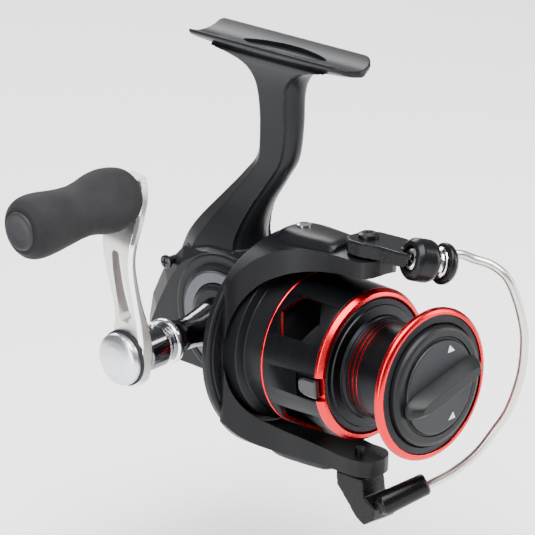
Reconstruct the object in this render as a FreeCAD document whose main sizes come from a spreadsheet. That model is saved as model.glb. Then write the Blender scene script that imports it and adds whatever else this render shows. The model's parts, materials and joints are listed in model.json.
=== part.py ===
"""Open-face spinning reel with a front drag, in millimetres.

Frame: the origin is on the rod seat, in the middle of the foot's saddle.  +Z points up into the rod,
-Y points forward along the spool's axis, and the handle stands out on the -X side.
The spool axis lies straight below the rod seat, at a distance of axis_drop.
"""
import FreeCAD, Part
import math
import os

import Sketcher
from FreeCAD import Placement, Rotation, Vector

doc = FreeCAD.newDocument("spinning_reel")
sheet = doc.addObject("Spreadsheet::Sheet", "dims")

# ---------------------------------------------------------------- driving dimensions
# "forward" values are measured along -Y from the origin's plane.
DIMENSIONS = {
    # foot and stem
    "axis_drop": 88.4,
    "foot_length": 63.0,
    "foot_width": 14.7,
    "saddle_radius": 14.5,
    "saddle_rise": 2.0,
    # spool
    "lip_radius": 22.5,
    "lip_forward": 54.7,
    "skirt_front_radius": 22.6,
    "skirt_rear_radius": 23.4,
    "skirt_front_forward": 32.5,
    "skirt_rear_forward": 10.7,
    "arbor_radius": 14.6,
    # shafts
    "shaft_radius": 1.75,
    "running_gap": 0.08,
    # rotor and bail
    "rim_radius": 31.5,
    "rim_forward": -2.3,
    "arm_inner_radius": 26.6,
    "arm_outer_radius": 33.0,
    "arm_half_width": 7.5,
    "pivot_forward": 29.7,
    "rotor_lean": 4.5,
    "wire_radius": 1.2,
    # handle
    "handle_back": 15.8,
    "handle_rise": 5.2,
    "crank_length": 53.0,
    "crank_lean": 8.1,
    # gear train
    "gear_teeth": 40.0,
    "pinion_teeth": 8.0,
    "gear_radius": 14.0,
}


class Size(float):
    """A number that remembers the sheet formula it was worked out from."""

    def __new__(cls, value, formula=None):
        size = float.__new__(cls, value)
        size.formula = formula
        return size

    def _join(self, other, sign, swapped=False):
        left, right = (other, self) if swapped else (self, other)
        formula = f"({text_of(left)} {sign} {text_of(right)})"
        first, second = float(left), float(right)
        value = {"+": first + second, "-": first - second, "*": first * second}.get(sign)
        if sign == "/":
            value = first / second
        return Size(value, formula)

    def __add__(self, other):
        return self._join(other, "+")

    def __radd__(self, other):
        return self._join(other, "+", True)

    def __sub__(self, other):
        return self._join(other, "-")

    def __rsub__(self, other):
        return self._join(other, "-", True)

    def __mul__(self, other):
        return self._join(other, "*")

    def __rmul__(self, other):
        return self._join(other, "*", True)

    def __truediv__(self, other):
        return self._join(other, "/")

    def __neg__(self):
        return self._join(-1.0, "*")


def text_of(size):
    """The sheet formula of a size, or its plain number."""
    formula = getattr(size, "formula", None)
    return formula if formula else f"{float(size):.6g}"


class Dims:
    """Reads the sheet's cells by name."""

    def __getattr__(self, name):
        return Size(DIMENSIONS[name], f"dims.{name}")


for row, (name, value) in enumerate(DIMENSIONS.items(), start=1):
    sheet.set(f"A{row}", name)
    sheet.set(f"B{row}", f"{value:g}")
    sheet.setAlias(f"B{row}", name)
doc.recompute()
d = Dims()

# ---------------------------------------------------------------- frames of the assembly
FORWARD = Rotation(Vector(1, 0, 0), 90)        # a lathe's local Z points forward, along -Y
OUTWARD = Rotation(Vector(0, 1, 0), -90)       # a lathe's local Z points out to the handle, along -X
AXIS_DOWN = -d.axis_drop
ON_AXIS = Placement(Vector(0, 0, AXIS_DOWN), FORWARD)
SPOOL_AXIS = Placement(Vector(0, 0, AXIS_DOWN), Rotation())
ROTOR = Placement(Vector(0, 0, AXIS_DOWN), Rotation(Vector(0, 1, 0), d.rotor_lean))
HANDLE_Z = AXIS_DOWN + d.handle_rise
ON_HANDLE = Placement(Vector(0, d.handle_back, HANDLE_Z), OUTWARD)
CRANK = Placement(Vector(0, d.handle_back, HANDLE_Z), Rotation(Vector(1, 0, 0), d.crank_lean))
CRANK_OUT = CRANK * Placement(Vector(0, 0, 0), OUTWARD)
ON_CRANK_TIP = CRANK * Placement(Vector(0, 0, d.crank_length), OUTWARD)

NODES = {}


def finish_node(feature, label, place):
    """Gives a sub-part its label and its place, and lists it for export."""
    feature.Label = label
    feature.Placement = place
    NODES[label] = feature
    return feature


def bind(feature, prop, size):
    """Binds one property to the sheet, or sets it when the size is a plain number."""
    if getattr(size, "formula", None):
        feature.setExpression(prop, size.formula)
    else:
        setattr(feature, prop, float(size))


# ---------------------------------------------------------------- sketches and features
def origin_plane(body, role):
    for feature in body.Origin.OriginFeatures:
        if feature.Role == role:
            return feature
    raise ValueError(role)


def new_sketch(body, name, role, offset=0.0):
    sketch = body.newObject("Sketcher::SketchObject", name)
    sketch.AttachmentSupport = (origin_plane(body, role), [""])
    sketch.MapMode = "FlatFace"
    sketch.AttachmentOffset = Placement(Vector(0, 0, offset), Rotation())
    if getattr(offset, "formula", None):
        sketch.setExpression("AttachmentOffset.Base.z", offset.formula)
    return sketch


def hold(sketch, geometry, point, across, up):
    """Fixes one sketch point at (across, up), with formulas where the sizes have them."""
    for kind, value, axis in (("DistanceX", across, -2), ("DistanceY", up, -1)):
        if abs(float(value)) < 1e-9:
            sketch.addConstraint(Sketcher.Constraint("PointOnObject", geometry, point, axis))
            continue
        index = sketch.addConstraint(
            Sketcher.Constraint(kind, -1, 1, geometry, point, float(value)))
        if getattr(value, "formula", None):
            sketch.setExpression(f"Constraints[{index}]", value.formula)


def draw_outline(sketch, points):
    """Draws a closed outline of straight edges through (across, up) points."""
    first = sketch.GeometryCount
    corners = [Vector(float(x), float(y), 0) for x, y in points]
    count = len(corners)
    for i, corner in enumerate(corners):
        sketch.addGeometry(Part.LineSegment(corner, corners[(i + 1) % count]), False)
    for i in range(count):
        after = first + (i + 1) % count
        sketch.addConstraint(Sketcher.Constraint("Coincident", first + i, 2, after, 1))
    for i, (x, y) in enumerate(points):
        hold(sketch, first + i, 1, x, y)


def draw_circle(sketch, x, y, radius):
    circle = Part.Circle(Vector(float(x), float(y), 0), Vector(0, 0, 1), float(radius))
    index = sketch.addGeometry(circle, False)
    hold(sketch, index, 3, x, y)
    constraint = sketch.addConstraint(Sketcher.Constraint("Radius", index, float(radius)))
    if getattr(radius, "formula", None):
        sketch.setExpression(f"Constraints[{constraint}]", radius.formula)


def draw_smooth(sketch, points):
    """Draws a closed smooth curve through the points."""
    curve = Part.BSplineCurve()
    curve.interpolate([Vector(float(x), float(y), 0) for x, y in points], True)
    sketch.addGeometry(curve, False)


def new_body(label):
    return doc.addObject("PartDesign::Body", label + "_body")


def spin(body, outline, label="profile", cut=False):
    """Turns an outline of (radius, height) points round the body's Z axis."""
    sketch = new_sketch(body, label, "XZ_Plane")
    draw_outline(sketch, outline)
    kind = "PartDesign::Groove" if cut else "PartDesign::Revolution"
    feature = body.newObject(kind, "turned")
    feature.Profile = sketch
    feature.ReferenceAxis = (sketch, ["V_Axis"])
    feature.Angle = 360.0
    sketch.Visibility = False
    return feature


def lathe(label, outline, place):
    """A sub-part that is one turned profile."""
    body = new_body(label)
    spin(body, outline)
    return finish_node(body, label, place)


def ring(label, inner, outer, low, high, place):
    """A plain ring: a washer, bush, bearing or tube."""
    return lathe(label, [(inner, low), (outer, low), (outer, high), (inner, high)], place)


def extrude(body, role, start, length, outline=None, circle=None, smooth=None, cut=False):
    """Pads or pockets one closed shape, from start over length along the plane's normal."""
    sketch = new_sketch(body, "section", role, start)
    if outline:
        draw_outline(sketch, outline)
    if smooth:
        draw_smooth(sketch, smooth)
    if circle:
        draw_circle(sketch, *circle)
    feature = body.newObject("PartDesign::Pocket" if cut else "PartDesign::Pad", "block")
    feature.Profile = sketch
    feature.Type = 0
    if cut:
        feature.Reversed = True
    bind(feature, "Length", length)
    sketch.Visibility = False
    return feature


def pattern(body, feature, count, axis="Z_Axis"):
    """Repeats a feature round one of the body's own axes."""
    polar = body.newObject("PartDesign::PolarPattern", "around")
    polar.Originals = [feature]
    polar.Axis = (origin_plane(body, axis), [""])
    polar.Angle = 360.0
    polar.Occurrences = int(count)
    body.Tip = polar
    return polar


def combine(kind, label, base, tools, place):
    """A Part boolean of finished solids: Fuse, Cut or Common."""
    if kind == "Part::Cut":
        feature = doc.addObject(kind, label + "_shape")
        feature.Base = base
        feature.Tool = tools[0]
    else:
        feature = doc.addObject("Part::MultiFuse" if kind == "Part::Fuse" else "Part::MultiCommon",
                                label + "_shape")
        feature.Shapes = [base] + tools
    feature.Refine = False
    if place is not None:
        finish_node(feature, label, place)
    return feature


def group(label, pieces, place):
    """Several identical pieces, such as screws, as one sub-part of separate solids."""
    compound = doc.addObject("Part::Compound", label + "_group")
    compound.Links = pieces
    return finish_node(compound, label, place)


def shaped(label, shape, place):
    """A sub-part whose shape comes straight from Part's own functions."""
    feature = doc.addObject("Part::Feature", label + "_solid")
    feature.Shape = shape
    return finish_node(feature, label, place)


# ---------------------------------------------------------------- housing, stem and foot
CASE_OUTER = 11.0          # outer face of the closed side
CASE_INNER = 9.5           # inner face of the closed side
CASE_OPEN = -9.0           # the chamber's open face, where the side cover sits
COVER_FACE = -11.2         # outer face of the side cover
CASE_WALL = 1.6
NECK_RADIUS = 18.6
CHAMBER_RADIUS = 9.0       # room round the pinion behind the neck
GEAR_ROOM_RADIUS = 15.7    # room round the drive gear's rim, from the open face inwards
GEAR_ROOM_DEPTH = 7.2
CASE_OUTLINE = [(-0.4, 0.0), (-0.4, 15.6), (1.0, 16.6), (4.9, 17.5), (5.5, 22.0), (9.0, 25.6),
                (24.0, 26.0), (36.0, 22.5), (45.0, 14.0), (50.5, 4.0), (52.5, -5.0), (50.0, -12.0),
                (42.0, -15.0), (10.0, -15.5), (2.0, -14.6), (-0.4, -12.0)]
COVER_SCREWS = [(39.0, 17.4), (48.4, -9.6), (3.4, -12.4)]   # back, rise
STEM_SECTIONS = [  # height above the spool axis, front, rear, half width
    (24.0, 10.0, 41.0, 8.7), (32.0, 8.5, 33.0, 8.2), (40.0, 4.5, 24.8, 7.0), (49.0, -2.0, 15.6, 6.2),
    (56.0, -6.6, 10.0, 5.8), (66.0, -8.6, 9.0, 5.8), (76.0, -9.2, 9.6, 6.2), (83.0, -12.0, 12.5, 6.8),
    (87.2, -17.0, 17.0, 7.0)]


def inset(outline, amount):
    """Moves every corner of an outline towards the outline's middle."""
    mid_x = sum(x for x, _ in outline) / len(outline)
    mid_y = sum(y for _, y in outline) / len(outline)
    moved = []
    for x, y in outline:
        reach = math.hypot(x - mid_x, y - mid_y)
        keep = (reach - amount) / reach
        moved.append((mid_x + (x - mid_x) * keep, mid_y + (y - mid_y) * keep))
    return moved


def stem_loft(body):
    """The stem: one loft through upright oval sections."""
    sketches = []
    for height, front, rear, half in STEM_SECTIONS:
        sketch = new_sketch(body, "oval", "XY_Plane", height)
        middle, reach = (front + rear) / 2, (rear - front) / 2
        points = []
        for step in range(16):
            turn = 2 * math.pi * step / 16
            side, along = math.cos(turn), math.sin(turn)
            square = 0.75
            points.append((half * math.copysign(abs(side) ** square, side),
                           middle + reach * math.copysign(abs(along) ** square, along)))
        draw_smooth(sketch, points)
        sketches.append(sketch)
    loft = body.newObject("PartDesign::AdditiveLoft", "stem")
    loft.Profile = sketches[0]
    loft.Sections = sketches[1:]
    return loft


def foot_outline():
    """Half-round front end and a squarer rear end, seen from above."""
    half, reach = float(d.foot_width) / 2, float(d.foot_length) / 2
    front = [(half * math.cos(a), -reach + half - half * math.sin(a)) for a in
             (0.0, 0.5, 1.0, 1.35)]
    left = [(-x, y) for x, y in reversed(front)]
    return front + left + [(-half, reach - 2.0), (-half + 2.0, reach), (half - 2.0, reach),
                           (half, reach - 2.0)]


def make_housing():
    body = new_body("body_housing")
    drop = d.axis_drop
    extrude(body, "YZ_Plane", CASE_OPEN, CASE_OUTER - CASE_OPEN, outline=CASE_OUTLINE)
    stem_loft(body)
    extrude(body, "XY_Plane", drop - 3.0, d.saddle_rise + 3.0, outline=foot_outline())
    spin_neck(body)
    saddle = new_sketch(body, "saddle", "XZ_Plane", -40.0)
    draw_circle(saddle, 0.0, drop + d.saddle_radius, d.saddle_radius)
    pocket = body.newObject("PartDesign::Pocket", "saddle_cut")
    pocket.Profile = saddle
    pocket.Length = 80.0
    pocket.Reversed = True
    extrude(body, "YZ_Plane", CASE_OPEN, CASE_INNER - CASE_OPEN,
            outline=inset(CASE_OUTLINE, CASE_WALL + 0.6), cut=True)
    extrude(body, "YZ_Plane", CASE_OPEN, GEAR_ROOM_DEPTH,
            circle=(d.handle_back, d.handle_rise, GEAR_ROOM_RADIUS), cut=True)
    for back, rise in COVER_SCREWS:
        extrude(body, "YZ_Plane", CASE_OPEN, 2.0, circle=(back, rise, 1.3), cut=True)
    # seats on the closed side: handle bearing and oscillation gear boss
    extrude(body, "YZ_Plane", 7.8, 1.7, circle=(d.handle_back, d.handle_rise, 8.4))
    extrude(body, "YZ_Plane", 5.0, 10.0, circle=(d.handle_back, d.handle_rise, 6.5), cut=True)
    extrude(body, "YZ_Plane", 7.2, 2.3, circle=(OSC_BACK, OSC_RISE, 4.2))
    extrude(body, "YZ_Plane", 5.0, 5.4, circle=(OSC_BACK, OSC_RISE, 2.44), cut=True)
    cut_neck_bore(body)
    return finish_node(body, "body_housing", SPOOL_AXIS)


def spin_neck(body):
    """The round collar in front of the case, which the rotor's hollow back covers."""
    neck = new_sketch(body, "neck", "XZ_Plane", 0.4)
    draw_circle(neck, 0.0, 0.0, NECK_RADIUS)
    pad = body.newObject("PartDesign::Pad", "neck_pad")
    pad.Profile = neck
    pad.Length = 2.6
    nose = new_sketch(body, "nose", "XZ_Plane", 3.0)
    draw_circle(nose, 0.0, 0.0, 11.2)
    tip = body.newObject("PartDesign::Pad", "nose_pad")
    tip.Profile = nose
    tip.Length = 6.0


def cut_neck_bore(body):
    """Gear room inside the collar, then the bearing's and the clutch's seats."""
    for start, length, radius in ((-12.0, 12.6, CHAMBER_RADIUS), (0.0, 10.0, 6.5),
                                  (4.6, 6.0, 9.6)):
        sketch = new_sketch(body, "bore", "XZ_Plane", start)
        draw_circle(sketch, 0.0, 0.0, radius)
        pocket = body.newObject("PartDesign::Pocket", "bore_cut")
        pocket.Profile = sketch
        pocket.Length = length
        pocket.Reversed = True


def make_side_cover():
    """The handle-side cover, with the raised ring that carries the dial."""
    body = new_body("side_cover")
    axle = (d.handle_back, d.handle_rise)
    extrude(body, "YZ_Plane", COVER_FACE, CASE_OPEN - COVER_FACE, outline=CASE_OUTLINE)
    extrude(body, "YZ_Plane", COVER_FACE - 0.8, 0.8, circle=(*axle, 15.8))
    extrude(body, "YZ_Plane", CASE_OPEN, 1.2, circle=(*axle, 8.4))
    extrude(body, "YZ_Plane", -15.0, 10.0, circle=(*axle, 6.5), cut=True)
    for back, rise in COVER_SCREWS:
        extrude(body, "YZ_Plane", -15.0, 9.0, circle=(back, rise, 1.3), cut=True)
    return finish_node(body, "side_cover", SPOOL_AXIS)


def outward(x, back, rise):
    """A place whose Z points out to the handle side, at a point of the case."""
    return Placement(Vector(x, back, AXIS_DOWN + rise), OUTWARD)


def screw(name, radius, head_radius, head, length):
    """A small cross-recess screw, its head's underside at height 0 and its shank below."""
    body = new_body(name)
    spin(body, [(0, -length), (radius, -length), (radius, 0), (head_radius, 0),
                (head_radius, head * 0.7), (head_radius * 0.75, head), (0, head)])
    arm = head_radius * 0.6
    for across, up in ((arm, 0.22), (0.22, arm)):
        extrude(body, "XY_Plane", head * 0.45, 2.0,
                outline=[(-across, -up), (across, -up), (across, up), (-across, up)], cut=True)
    return body


def make_case_fittings():
    screws = []
    for back, rise in COVER_SCREWS:
        piece = screw("cover_screw", 1.25, 2.1, 1.0, 3.6)
        piece.Placement = outward(COVER_FACE, back, rise)
        screws.append(piece)
    group("side_cover_screws", screws, Placement())
    dial = outward(0, d.handle_back, d.handle_rise)
    lathe("handle_dial", [(11.2, 12.0), (14.8, 12.0), (14.8, 12.6), (14.3, 13.0), (11.6, 13.0),
                          (11.2, 12.7)], dial)
    lathe("dial_cap", [(6.7, 12.0), (11.0, 12.0), (11.0, 12.9), (10.0, 13.6), (6.7, 14.0)], dial)
    lathe("far_side_cap", [(0, -11.0), (8.6, -11.0), (8.6, -12.2), (7.4, -13.0), (2.2, -13.0),
                           (2.2, -12.0), (0, -12.0)], dial)
    bearings = []
    for low in (7.9, -10.7):
        body = new_body("bearing")
        spin(body, [(3.26, low), (6.5, low), (6.5, low + 2.8), (5.9, low + 2.8), (5.9, low + 2.6),
                    (4.0, low + 2.6), (4.0, low + 2.8), (3.26, low + 2.8)])
        body.Placement = dial
        bearings.append(body)
    group("handle_bearings", bearings, Placement())
    ring("pinion_front_bearing", 3.06, 6.5, 1.5, 4.4, ON_AXIS)
    ring("clutch_housing", 7.2, 9.6, 4.6, 9.0, ON_AXIS)
    body = new_body("pinion_rear_bearing")
    extrude(body, "XZ_Plane", -9.6, 2.4, outline=[(0.0, -12.0), (CASE_INNER - 0.1, -12.0),
            (CASE_INNER - 0.1, -5.6), (0.0, -4.0)])
    extrude(body, "XZ_Plane", -9.6, 2.4, circle=(1.9, 0.0, 4.5))
    extrude(body, "XZ_Plane", -11.0, 5.0, circle=(0.0, 0.0, 3.06), cut=True)
    finish_node(body, "pinion_rear_bearing", SPOOL_AXIS)
    lathe("slider_guide", [(0, -49.0), (1.2, -49.0), (1.2, -10.0), (0, -10.0)],
          Placement(Vector(0.5, 0, AXIS_DOWN - 6.5), FORWARD))


# ---------------------------------------------------------------- gear train
NORMAL_PITCH = 2 * math.pi * float(d.gear_radius) / float(d.gear_teeth)
MESH_ANGLE = math.asin(float(d.handle_rise) / float(d.gear_radius))
RATIO = float(d.gear_teeth) / float(d.pinion_teeth)
PINION_RADIUS = float(d.gear_radius) / (math.cos(MESH_ANGLE) * RATIO)
TOOTH_TIP = 0.50           # above the pitch line
TOOTH_ROOT = 0.75          # below the pitch line
PINION_PHASE = math.radians(21.5)   # sets the pinion's teeth into the gear's gaps


def make_drive_gear():
    """A face gear with radial teeth, on a turned axle with a small spur gear for the oscillation."""
    body = new_body("drive_gear")
    tip_face = PINION_RADIUS - TOOTH_TIP
    root_face = PINION_RADIUS + TOOTH_ROOT
    rim = d.gear_radius + 1.4
    spin(body, [(1.6, -10.8), (3.2, -10.8), (3.2, 2.6), (6.0, 2.6), (6.0, root_face),
                (rim, root_face), (rim, root_face + 1.5), (7.0, root_face + 1.5), (6.0, 7.5),
                (3.2, 7.5), (3.2, 12.6), (1.6, 12.6)])
    half_root, half_tip = NORMAL_PITCH * 0.235, NORMAL_PITCH * 0.13
    inner, outer = float(d.gear_radius) - 1.3, float(d.gear_radius) + 1.3
    sketch = new_sketch(body, "tooth", "XZ_Plane", inner)
    draw_outline(sketch, [(-half_root, root_face + 0.2), (-half_root, root_face),
                          (-half_tip, tip_face), (half_tip, tip_face), (half_root, root_face),
                          (half_root, root_face + 0.2)])
    tooth = body.newObject("PartDesign::Pad", "tooth_pad")
    tooth.Profile = sketch
    tooth.Length = outer - inner
    pattern(body, tooth, d.gear_teeth)
    return finish_node(body, "drive_gear", ON_HANDLE)


def gear_outline(teeth, root, tip, root_share, tip_share, phase):
    """Corners of a simple spur gear: four to a tooth."""
    points = []
    pitch = 2 * math.pi / teeth
    for tooth in range(int(teeth)):
        middle = phase + tooth * pitch
        for share, radius in ((-root_share, root), (-tip_share, tip), (tip_share, tip),
                              (root_share, root)):
            turn = middle + share * pitch
            points.append((radius * math.cos(turn), radius * math.sin(turn)))
    return points


def make_pinion():
    """A helical pinion: its outline is lofted through turned sections, on a bored tube."""
    root, tip = PINION_RADIUS - 0.72, PINION_RADIUS + 0.45
    twist = math.tan(MESH_ANGLE) / PINION_RADIUS
    low, high, steps = -6.4, 1.0, 8
    wires = []
    for step in range(steps + 1):
        height = low + (high - low) * step / steps
        outline = gear_outline(8, root, tip, 0.20, 0.085, PINION_PHASE + twist * height)
        corners = [Vector(x, y, height) for x, y in outline]
        wires.append(Part.makePolygon(corners + corners[:1]))
    teeth = Part.makeLoft(wires, True, True)
    rear = Part.makeCylinder(3.0, low + 9.4, Vector(0, 0, -9.4))
    front = Part.makeCylinder(3.0, 19.6 - high, Vector(0, 0, high))
    shoulder = teeth.fuse([rear, front])
    bore = Part.makeCylinder(float(d.shaft_radius + d.running_gap), 40, Vector(0, 0, -12))
    solid = shoulder.cut(bore)
    for side in (-1, 1):
        flat = Part.makeBox(8, 2, 6.2, Vector(-4, 2.55 if side > 0 else -4.55, 11.9))
        solid = solid.cut(flat)
    return shaped("pinion_gear", solid.Solids[0], ON_AXIS)


OSC_BACK, OSC_RISE = 31.5, 0.5     # axle of the oscillation gear
OSC_PHASE = 5.0                    # degrees that mesh the oscillation gear with the axle gear


def spur(label, teeth, pitch_radius, low, high, bore, place, extra=None):
    body = new_body(label)
    outline = gear_outline(teeth, pitch_radius - 0.75, pitch_radius + 0.42, 0.20, 0.10, 0.0)
    extrude(body, "XY_Plane", low, high - low, outline=outline)
    if extra:
        for start, length, circle in extra:
            extrude(body, "XY_Plane", start, length, circle=circle)
    if bore:
        extrude(body, "XY_Plane", low - 1, high - low + 2, circle=(0, 0, bore), cut=True)
    return finish_node(body, label, place)


def make_oscillation():
    reach = math.hypot(OSC_BACK - float(d.handle_back), OSC_RISE - float(d.handle_rise))
    small, large = reach / 3, reach * 2 / 3
    spur("axle_gear", 18, small, -7.0, -4.0, 3.22, ON_HANDLE)
    place = Placement(Vector(0, OSC_BACK, AXIS_DOWN + OSC_RISE), OUTWARD)
    turn = Placement(Vector(0, 0, 0), Rotation(Vector(0, 0, 1), OSC_PHASE))
    spur("oscillation_gear", 36, large, -6.7, -4.2, None, place * turn,
         extra=[(-10.3, 3.6, (0, 0, 2.4)), (-4.2, 0.5, (7.0, 0, 1.5))])


# ---------------------------------------------------------------- shaft and slider
def make_shaft_group():
    lathe("main_shaft", [(0, -38.0), (d.shaft_radius, -38.0), (d.shaft_radius, 55.5),
                         (d.shaft_radius - 0.4, 56.2), (0, 56.2)], ON_AXIS)
    body = new_body("slider")
    extrude(body, "XZ_Plane", -36.0, 8.0,
            outline=[(-2.2, -8.4), (3.2, -8.4), (3.2, 3.6), (-2.2, 3.6)])
    extrude(body, "XZ_Plane", -37.0, 10.0, circle=(0.0, 0.0, d.shaft_radius), cut=True)
    extrude(body, "XZ_Plane", -37.0, 10.0, circle=(0.5, -6.5, 1.25), cut=True)
    finish_node(body, "slider", SPOOL_AXIS)
    ring("spool_seat", d.shaft_radius, 4.0, 24.6, 43.4, ON_AXIS)
    body = new_body("click_ratchet")
    outline = gear_outline(20, 6.0, 7.0, 0.3, 0.08, 0.0)
    extrude(body, "XY_Plane", 23.0, 1.5, outline=outline)
    extrude(body, "XY_Plane", 20.0, 8.0, circle=(0, 0, d.shaft_radius), cut=True)
    finish_node(body, "click_ratchet", ON_AXIS)


# ---------------------------------------------------------------- spool and drag
WINDOW_RADIUS = 7.4        # circumscribed, of the hexagonal openings in the skirt
CLIP_HALF = 3.6            # half width of the line clip's seat
CLIP_FLOOR = 20.9          # distance of the seat's floor from the axis
CLIP_TURN = Placement(Vector(0, 0, 0), Rotation(Vector(0, 0, 1), 3))


def make_spool():
    lip, front, rear = d.lip_forward, d.skirt_front_forward, d.skirt_rear_forward
    hub = 8.0
    body = new_body("spool")
    spin(body, [
        (4.08, 25.2), (hub, 25.2), (hub, 29.6), (d.skirt_front_radius - 1.6, 29.6),
        (d.skirt_rear_radius - 1.3, 27.0), (d.skirt_rear_radius - 1.3, rear),
        (d.skirt_rear_radius, rear), (d.skirt_rear_radius, rear + 0.6),
        (d.skirt_front_radius, front), (d.skirt_front_radius - 1.0, front + 1.4),
        (d.arbor_radius, front + 2.2), (d.arbor_radius, lip - 6.6), (d.arbor_radius - 0.8, lip - 6.5),
        (d.arbor_radius - 0.8, lip - 2.4), (d.arbor_radius, lip - 2.3),
        (d.lip_radius - 0.8, lip - 0.8), (d.lip_radius, lip), (d.lip_radius, lip + 1.2),
        (d.lip_radius - 1.2, lip + 2.0), (18.4, lip + 2.0), (18.4, lip - 0.6), (13.4, lip - 0.6),
        (13.4, 43.6), (4.08, 43.6)])
    windows = new_body("skirt_windows")
    middle = (front + rear) / 2 - 1.0
    hexagon = [(WINDOW_RADIUS * math.sin(math.radians(60 * k)),
                middle + WINDOW_RADIUS * math.cos(math.radians(60 * k))) for k in range(6)]
    block = extrude(windows, "YZ_Plane", 20.4, 6.0, outline=hexagon)
    pattern(windows, block, 4)
    windows.Placement = Placement(Vector(0, 0, 0), Rotation(Vector(0, 0, 1), 45))
    seat = new_body("clip_seat")
    extrude(seat, "YZ_Plane", -26.0, 26.0 - CLIP_FLOOR,
            outline=[(-CLIP_HALF, front - 8.0), (CLIP_HALF, front - 8.0), (CLIP_HALF, front + 1.5),
                     (-CLIP_HALF, front + 1.5)])
    seat.Placement = CLIP_TURN
    cutters = doc.addObject("Part::Compound", "spool_cutters")
    cutters.Links = [windows, seat]
    combine("Part::Cut", "spool", body, [cutters], ON_AXIS)
    clip = new_body("line_clip")
    extrude(clip, "YZ_Plane", -23.0, 23.0 - CLIP_FLOOR - 0.35,
            outline=[(-2.0, front - 7.0), (0.0, front - 7.4), (2.0, front - 7.0), (2.7, front - 4.5),
                     (2.7, front - 0.2), (-2.7, front - 0.2), (-2.7, front - 4.5)])
    finish_node(clip, "line_clip", ON_AXIS * CLIP_TURN)
    ring("arbor_band", d.arbor_radius - 0.8, d.arbor_radius + 0.05, lip - 6.5, lip - 2.4, ON_AXIS)


def washers(label, inner, outer, thickness, lows):
    """Several equal washers on the spool's axis, as one sub-part."""
    pieces = []
    for low in lows:
        body = new_body("washer")
        spin(body, [(inner, low), (outer, low), (outer, low + thickness), (inner, low + thickness)])
        pieces.append(body)
    group(label, pieces, ON_AXIS)


def make_drag():
    """The drag stack in the spool's nose: washers, retaining ring, spring, nut and knob."""
    lip = d.lip_forward
    washers("felt_washers", 4.3, 12.8, 0.85, (43.75, 45.45, 47.15))
    washers("metal_washers", d.shaft_radius + 0.06, 12.6, 0.6, (44.72, 48.12))
    ring("eared_washer", 4.3, 13.34, 46.42, 47.02, ON_AXIS)
    body = new_body("retaining_ring")
    extrude(body, "XY_Plane", 49.4, 0.8, circle=(0, 0, 13.35))
    extrude(body, "XY_Plane", 49.0, 2.0, circle=(0, 0, 12.3), cut=True)
    extrude(body, "XY_Plane", 49.0, 2.0, outline=[(-3, 9), (3, 9), (3, 15), (-3, 15)], cut=True)
    finish_node(body, "retaining_ring", ON_AXIS)
    face = lip + 4.0
    lathe("drag_knob", [
        (12.0, 50.6), (12.0, lip + 0.0), (17.8, lip + 0.0), (17.8, face - 0.9), (17.2, face),
        (14.1, face + 0.1), (13.9, face + 0.1), (13.9, face + 0.9), (3.0, face + 0.9),
        (3.0, face - 0.8), (10.6, face - 0.8), (10.6, 50.6)], ON_AXIS)
    ring("knob_seal", 12.05, 13.3, 51.2, 52.4, ON_AXIS)
    ring("drag_spring", 4.2, 5.2, 49.0, 51.4, ON_AXIS)
    body = new_body("drag_nut")
    hexagon = [(7.0 * math.cos(math.radians(60 * k)), 7.0 * math.sin(math.radians(60 * k)))
               for k in range(6)]
    extrude(body, "XY_Plane", 52.5, 3.0, outline=hexagon)
    extrude(body, "XY_Plane", 50.0, 8.0, circle=(0, 0, d.shaft_radius + d.running_gap), cut=True)
    finish_node(body, "drag_nut", ON_AXIS)
    body = new_body("knob_grip_bar")
    base = face + 0.9
    extrude(body, "XY_Plane", base, 4.6, outline=[
        (-15.5, -1.3), (-9.0, -3.6), (0.0, -4.4), (9.0, -3.6), (15.5, -1.3), (15.5, 1.3),
        (9.0, 3.6), (0.0, 4.4), (-9.0, 3.6), (-15.5, 1.3)])
    finish_node(body, "knob_grip_bar", ON_AXIS * Placement(Vector(0, 0, 0),
                                                          Rotation(Vector(0, 0, 1), 14)))


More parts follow.
